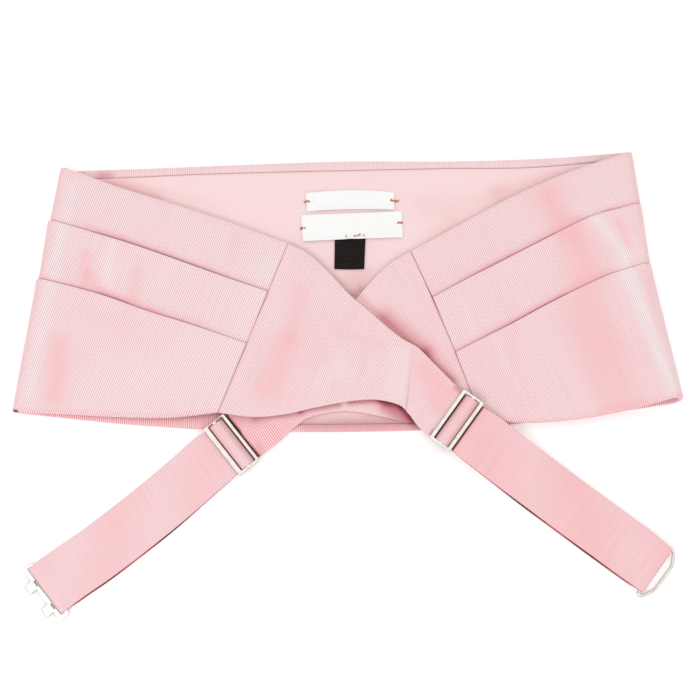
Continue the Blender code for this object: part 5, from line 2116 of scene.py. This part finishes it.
LEFT_SLIDER = Slider(
    name="left_slider",
    x=-54.9, y=-71.2, heading=218.5, side=Across.CLOCKWISE,
    height=3.45, roll=0.06, pitch=0.0,
    near_bar=(-5.9, -4.5), far_bar=(3.8, 5.9), side_bars=(1.2, 0.56),
)
RIGHT_SLIDER = Slider(
    name="right_slider",
    x=49.4, y=-60.5, heading=-36.0, side=Across.ANTICLOCKWISE,
    height=7.1, roll=0.12, pitch=0.03,
    near_bar=(-5.9, -4.2), far_bar=(3.9, 5.6), side_bars=(1.2, 1.0),
)


def main() -> None:
    """Builds the garment piece by piece, reports each piece and lights it."""
    logging.basicConfig(level=logging.INFO)
    wardrobe = Wardrobe()
    form = PanelForm()
    panel = PleatedPanel(form).build(wardrobe)
    lining = Lining(form).build(wardrobe)
    left_yoke = Yoke(
        name="left_yoke", wing=LEFT_WING, hand=Hand.LEFT, table=LEFT_YOKE, slider=RIGHT_SLIDER,
        folds=LEFT_YOKE_FOLDS, tones=LEFT_YOKE_TONES, shades=LEFT_YOKE_SHADES,
        rib_angle=156.0, end_rib_angle=143.5, crease=28.4, tone=0.46,
    )
    right_yoke = Yoke(
        name="right_yoke", wing=RIGHT_WING, hand=Hand.RIGHT, table=RIGHT_YOKE, slider=LEFT_SLIDER,
        folds=RIGHT_YOKE_FOLDS, tones=RIGHT_YOKE_TONES, shades=RIGHT_YOKE_SHADES,
        rib_angle=30.0, end_rib_angle=33.0, crease=30.0, tone=0.5, seam_bow=1.1,
    )
    yokes = [left_yoke.build(wardrobe), right_yoke.build(wardrobe)]
    left_strap = Strap(
        name="left_strap",
        slider=LEFT_SLIDER,
        route=((-88.6, -99.6), (-113.6, -119.4), (-129.0, -130.3), (-139.5, -138.5)),
        ground=((14.0, 0.6, 0.035), (26.0, 0.0, 0.0)),
        narrowing=0.0, under_shift=0.6, rib_angle=31.5,
        shades=((-4.1, 0.35, 1.0), (3.5, 0.3, 0.9)),
        tone=0.68, ribs=0.6, blur=0.6,
    )
    right_strap = Strap(
        name="right_strap",
        slider=RIGHT_SLIDER,
        route=((82.6, -85.0), (110.7, -106.0), (141.6, -128.8)),
        ground=(
            (15.0, 4.4, 0.12),
            (21.5, 3.9, 0.13),
            (31.0, 2.0, 0.08),
            (44.0, 0.4, 0.02),
            (58.0, 0.0, 0.0),
        ),
        narrowing=1.2, under_shift=0.7, rib_angle=143.0,
        shades=((-3.9, 0.6, 1.0), (3.6, 0.3, 0.4), (6.0, 0.6, 1.0)),
        tone=0.84, ribs=0.5, blur=0.8,
    )
    straps = [left_strap.build(wardrobe), right_strap.build(wardrobe)]
    for slider in (LEFT_SLIDER, RIGHT_SLIDER):
        slider.build(wardrobe)
    HookPlate(left_strap).build(wardrobe)
    WireEye(right_strap).build(wardrobe)
    Label(
        name="upper_label",
        top=((-21.1, 49.4), (0.5, 50.9), (21.1, 49.9)),
        bottom=((-20.4, 40.4), (0.2, 41.3), (21.1, 41.2)),
        curls=(Stroke(-14.0, 40.6, 18.0, 41.0, 2.2, 0.7), Stroke(-20.0, 49.0, -12.0, 50.0, 2.0, 0.3)),
        slot="white_satin",
    ).build(wardrobe.satin)
    Label(
        name="main_label",
        top=((-23.4, 38.7), (0.6, 39.6), (24.7, 40.6)),
        bottom=((-22.4, 25.6), (1.3, 26.8), (25.1, 27.6)),
        curls=(Stroke(-20.0, 25.8, 0.0, 26.6, 2.2, 0.7), Stroke(0.0, 26.6, 22.0, 27.4, 2.2, 0.6)),
        slot="white_satin",
    ).build(wardrobe.satin)
    Label(
        name="care_label",
        top=((-7.2, 27.4), (0.1, 27.6), (7.4, 27.9)),
        bottom=((-7.4, 12.3), (-0.3, 12.1), (6.7, 12.3)),
        curls=(Stroke(-6.0, 12.8, 6.0, 12.8, 1.6, 0.25),),
        slot="black_tape",
    ).build(wardrobe.tape)
    BarTacks().build(wardrobe)
    for obj in bpy.context.scene.objects:
        if obj.type == "MESH":
            LOG.info("%s: %d faces", obj.name, len(obj.data.polygons))
    Studio().build()


if __name__ == "__main__":
    main()
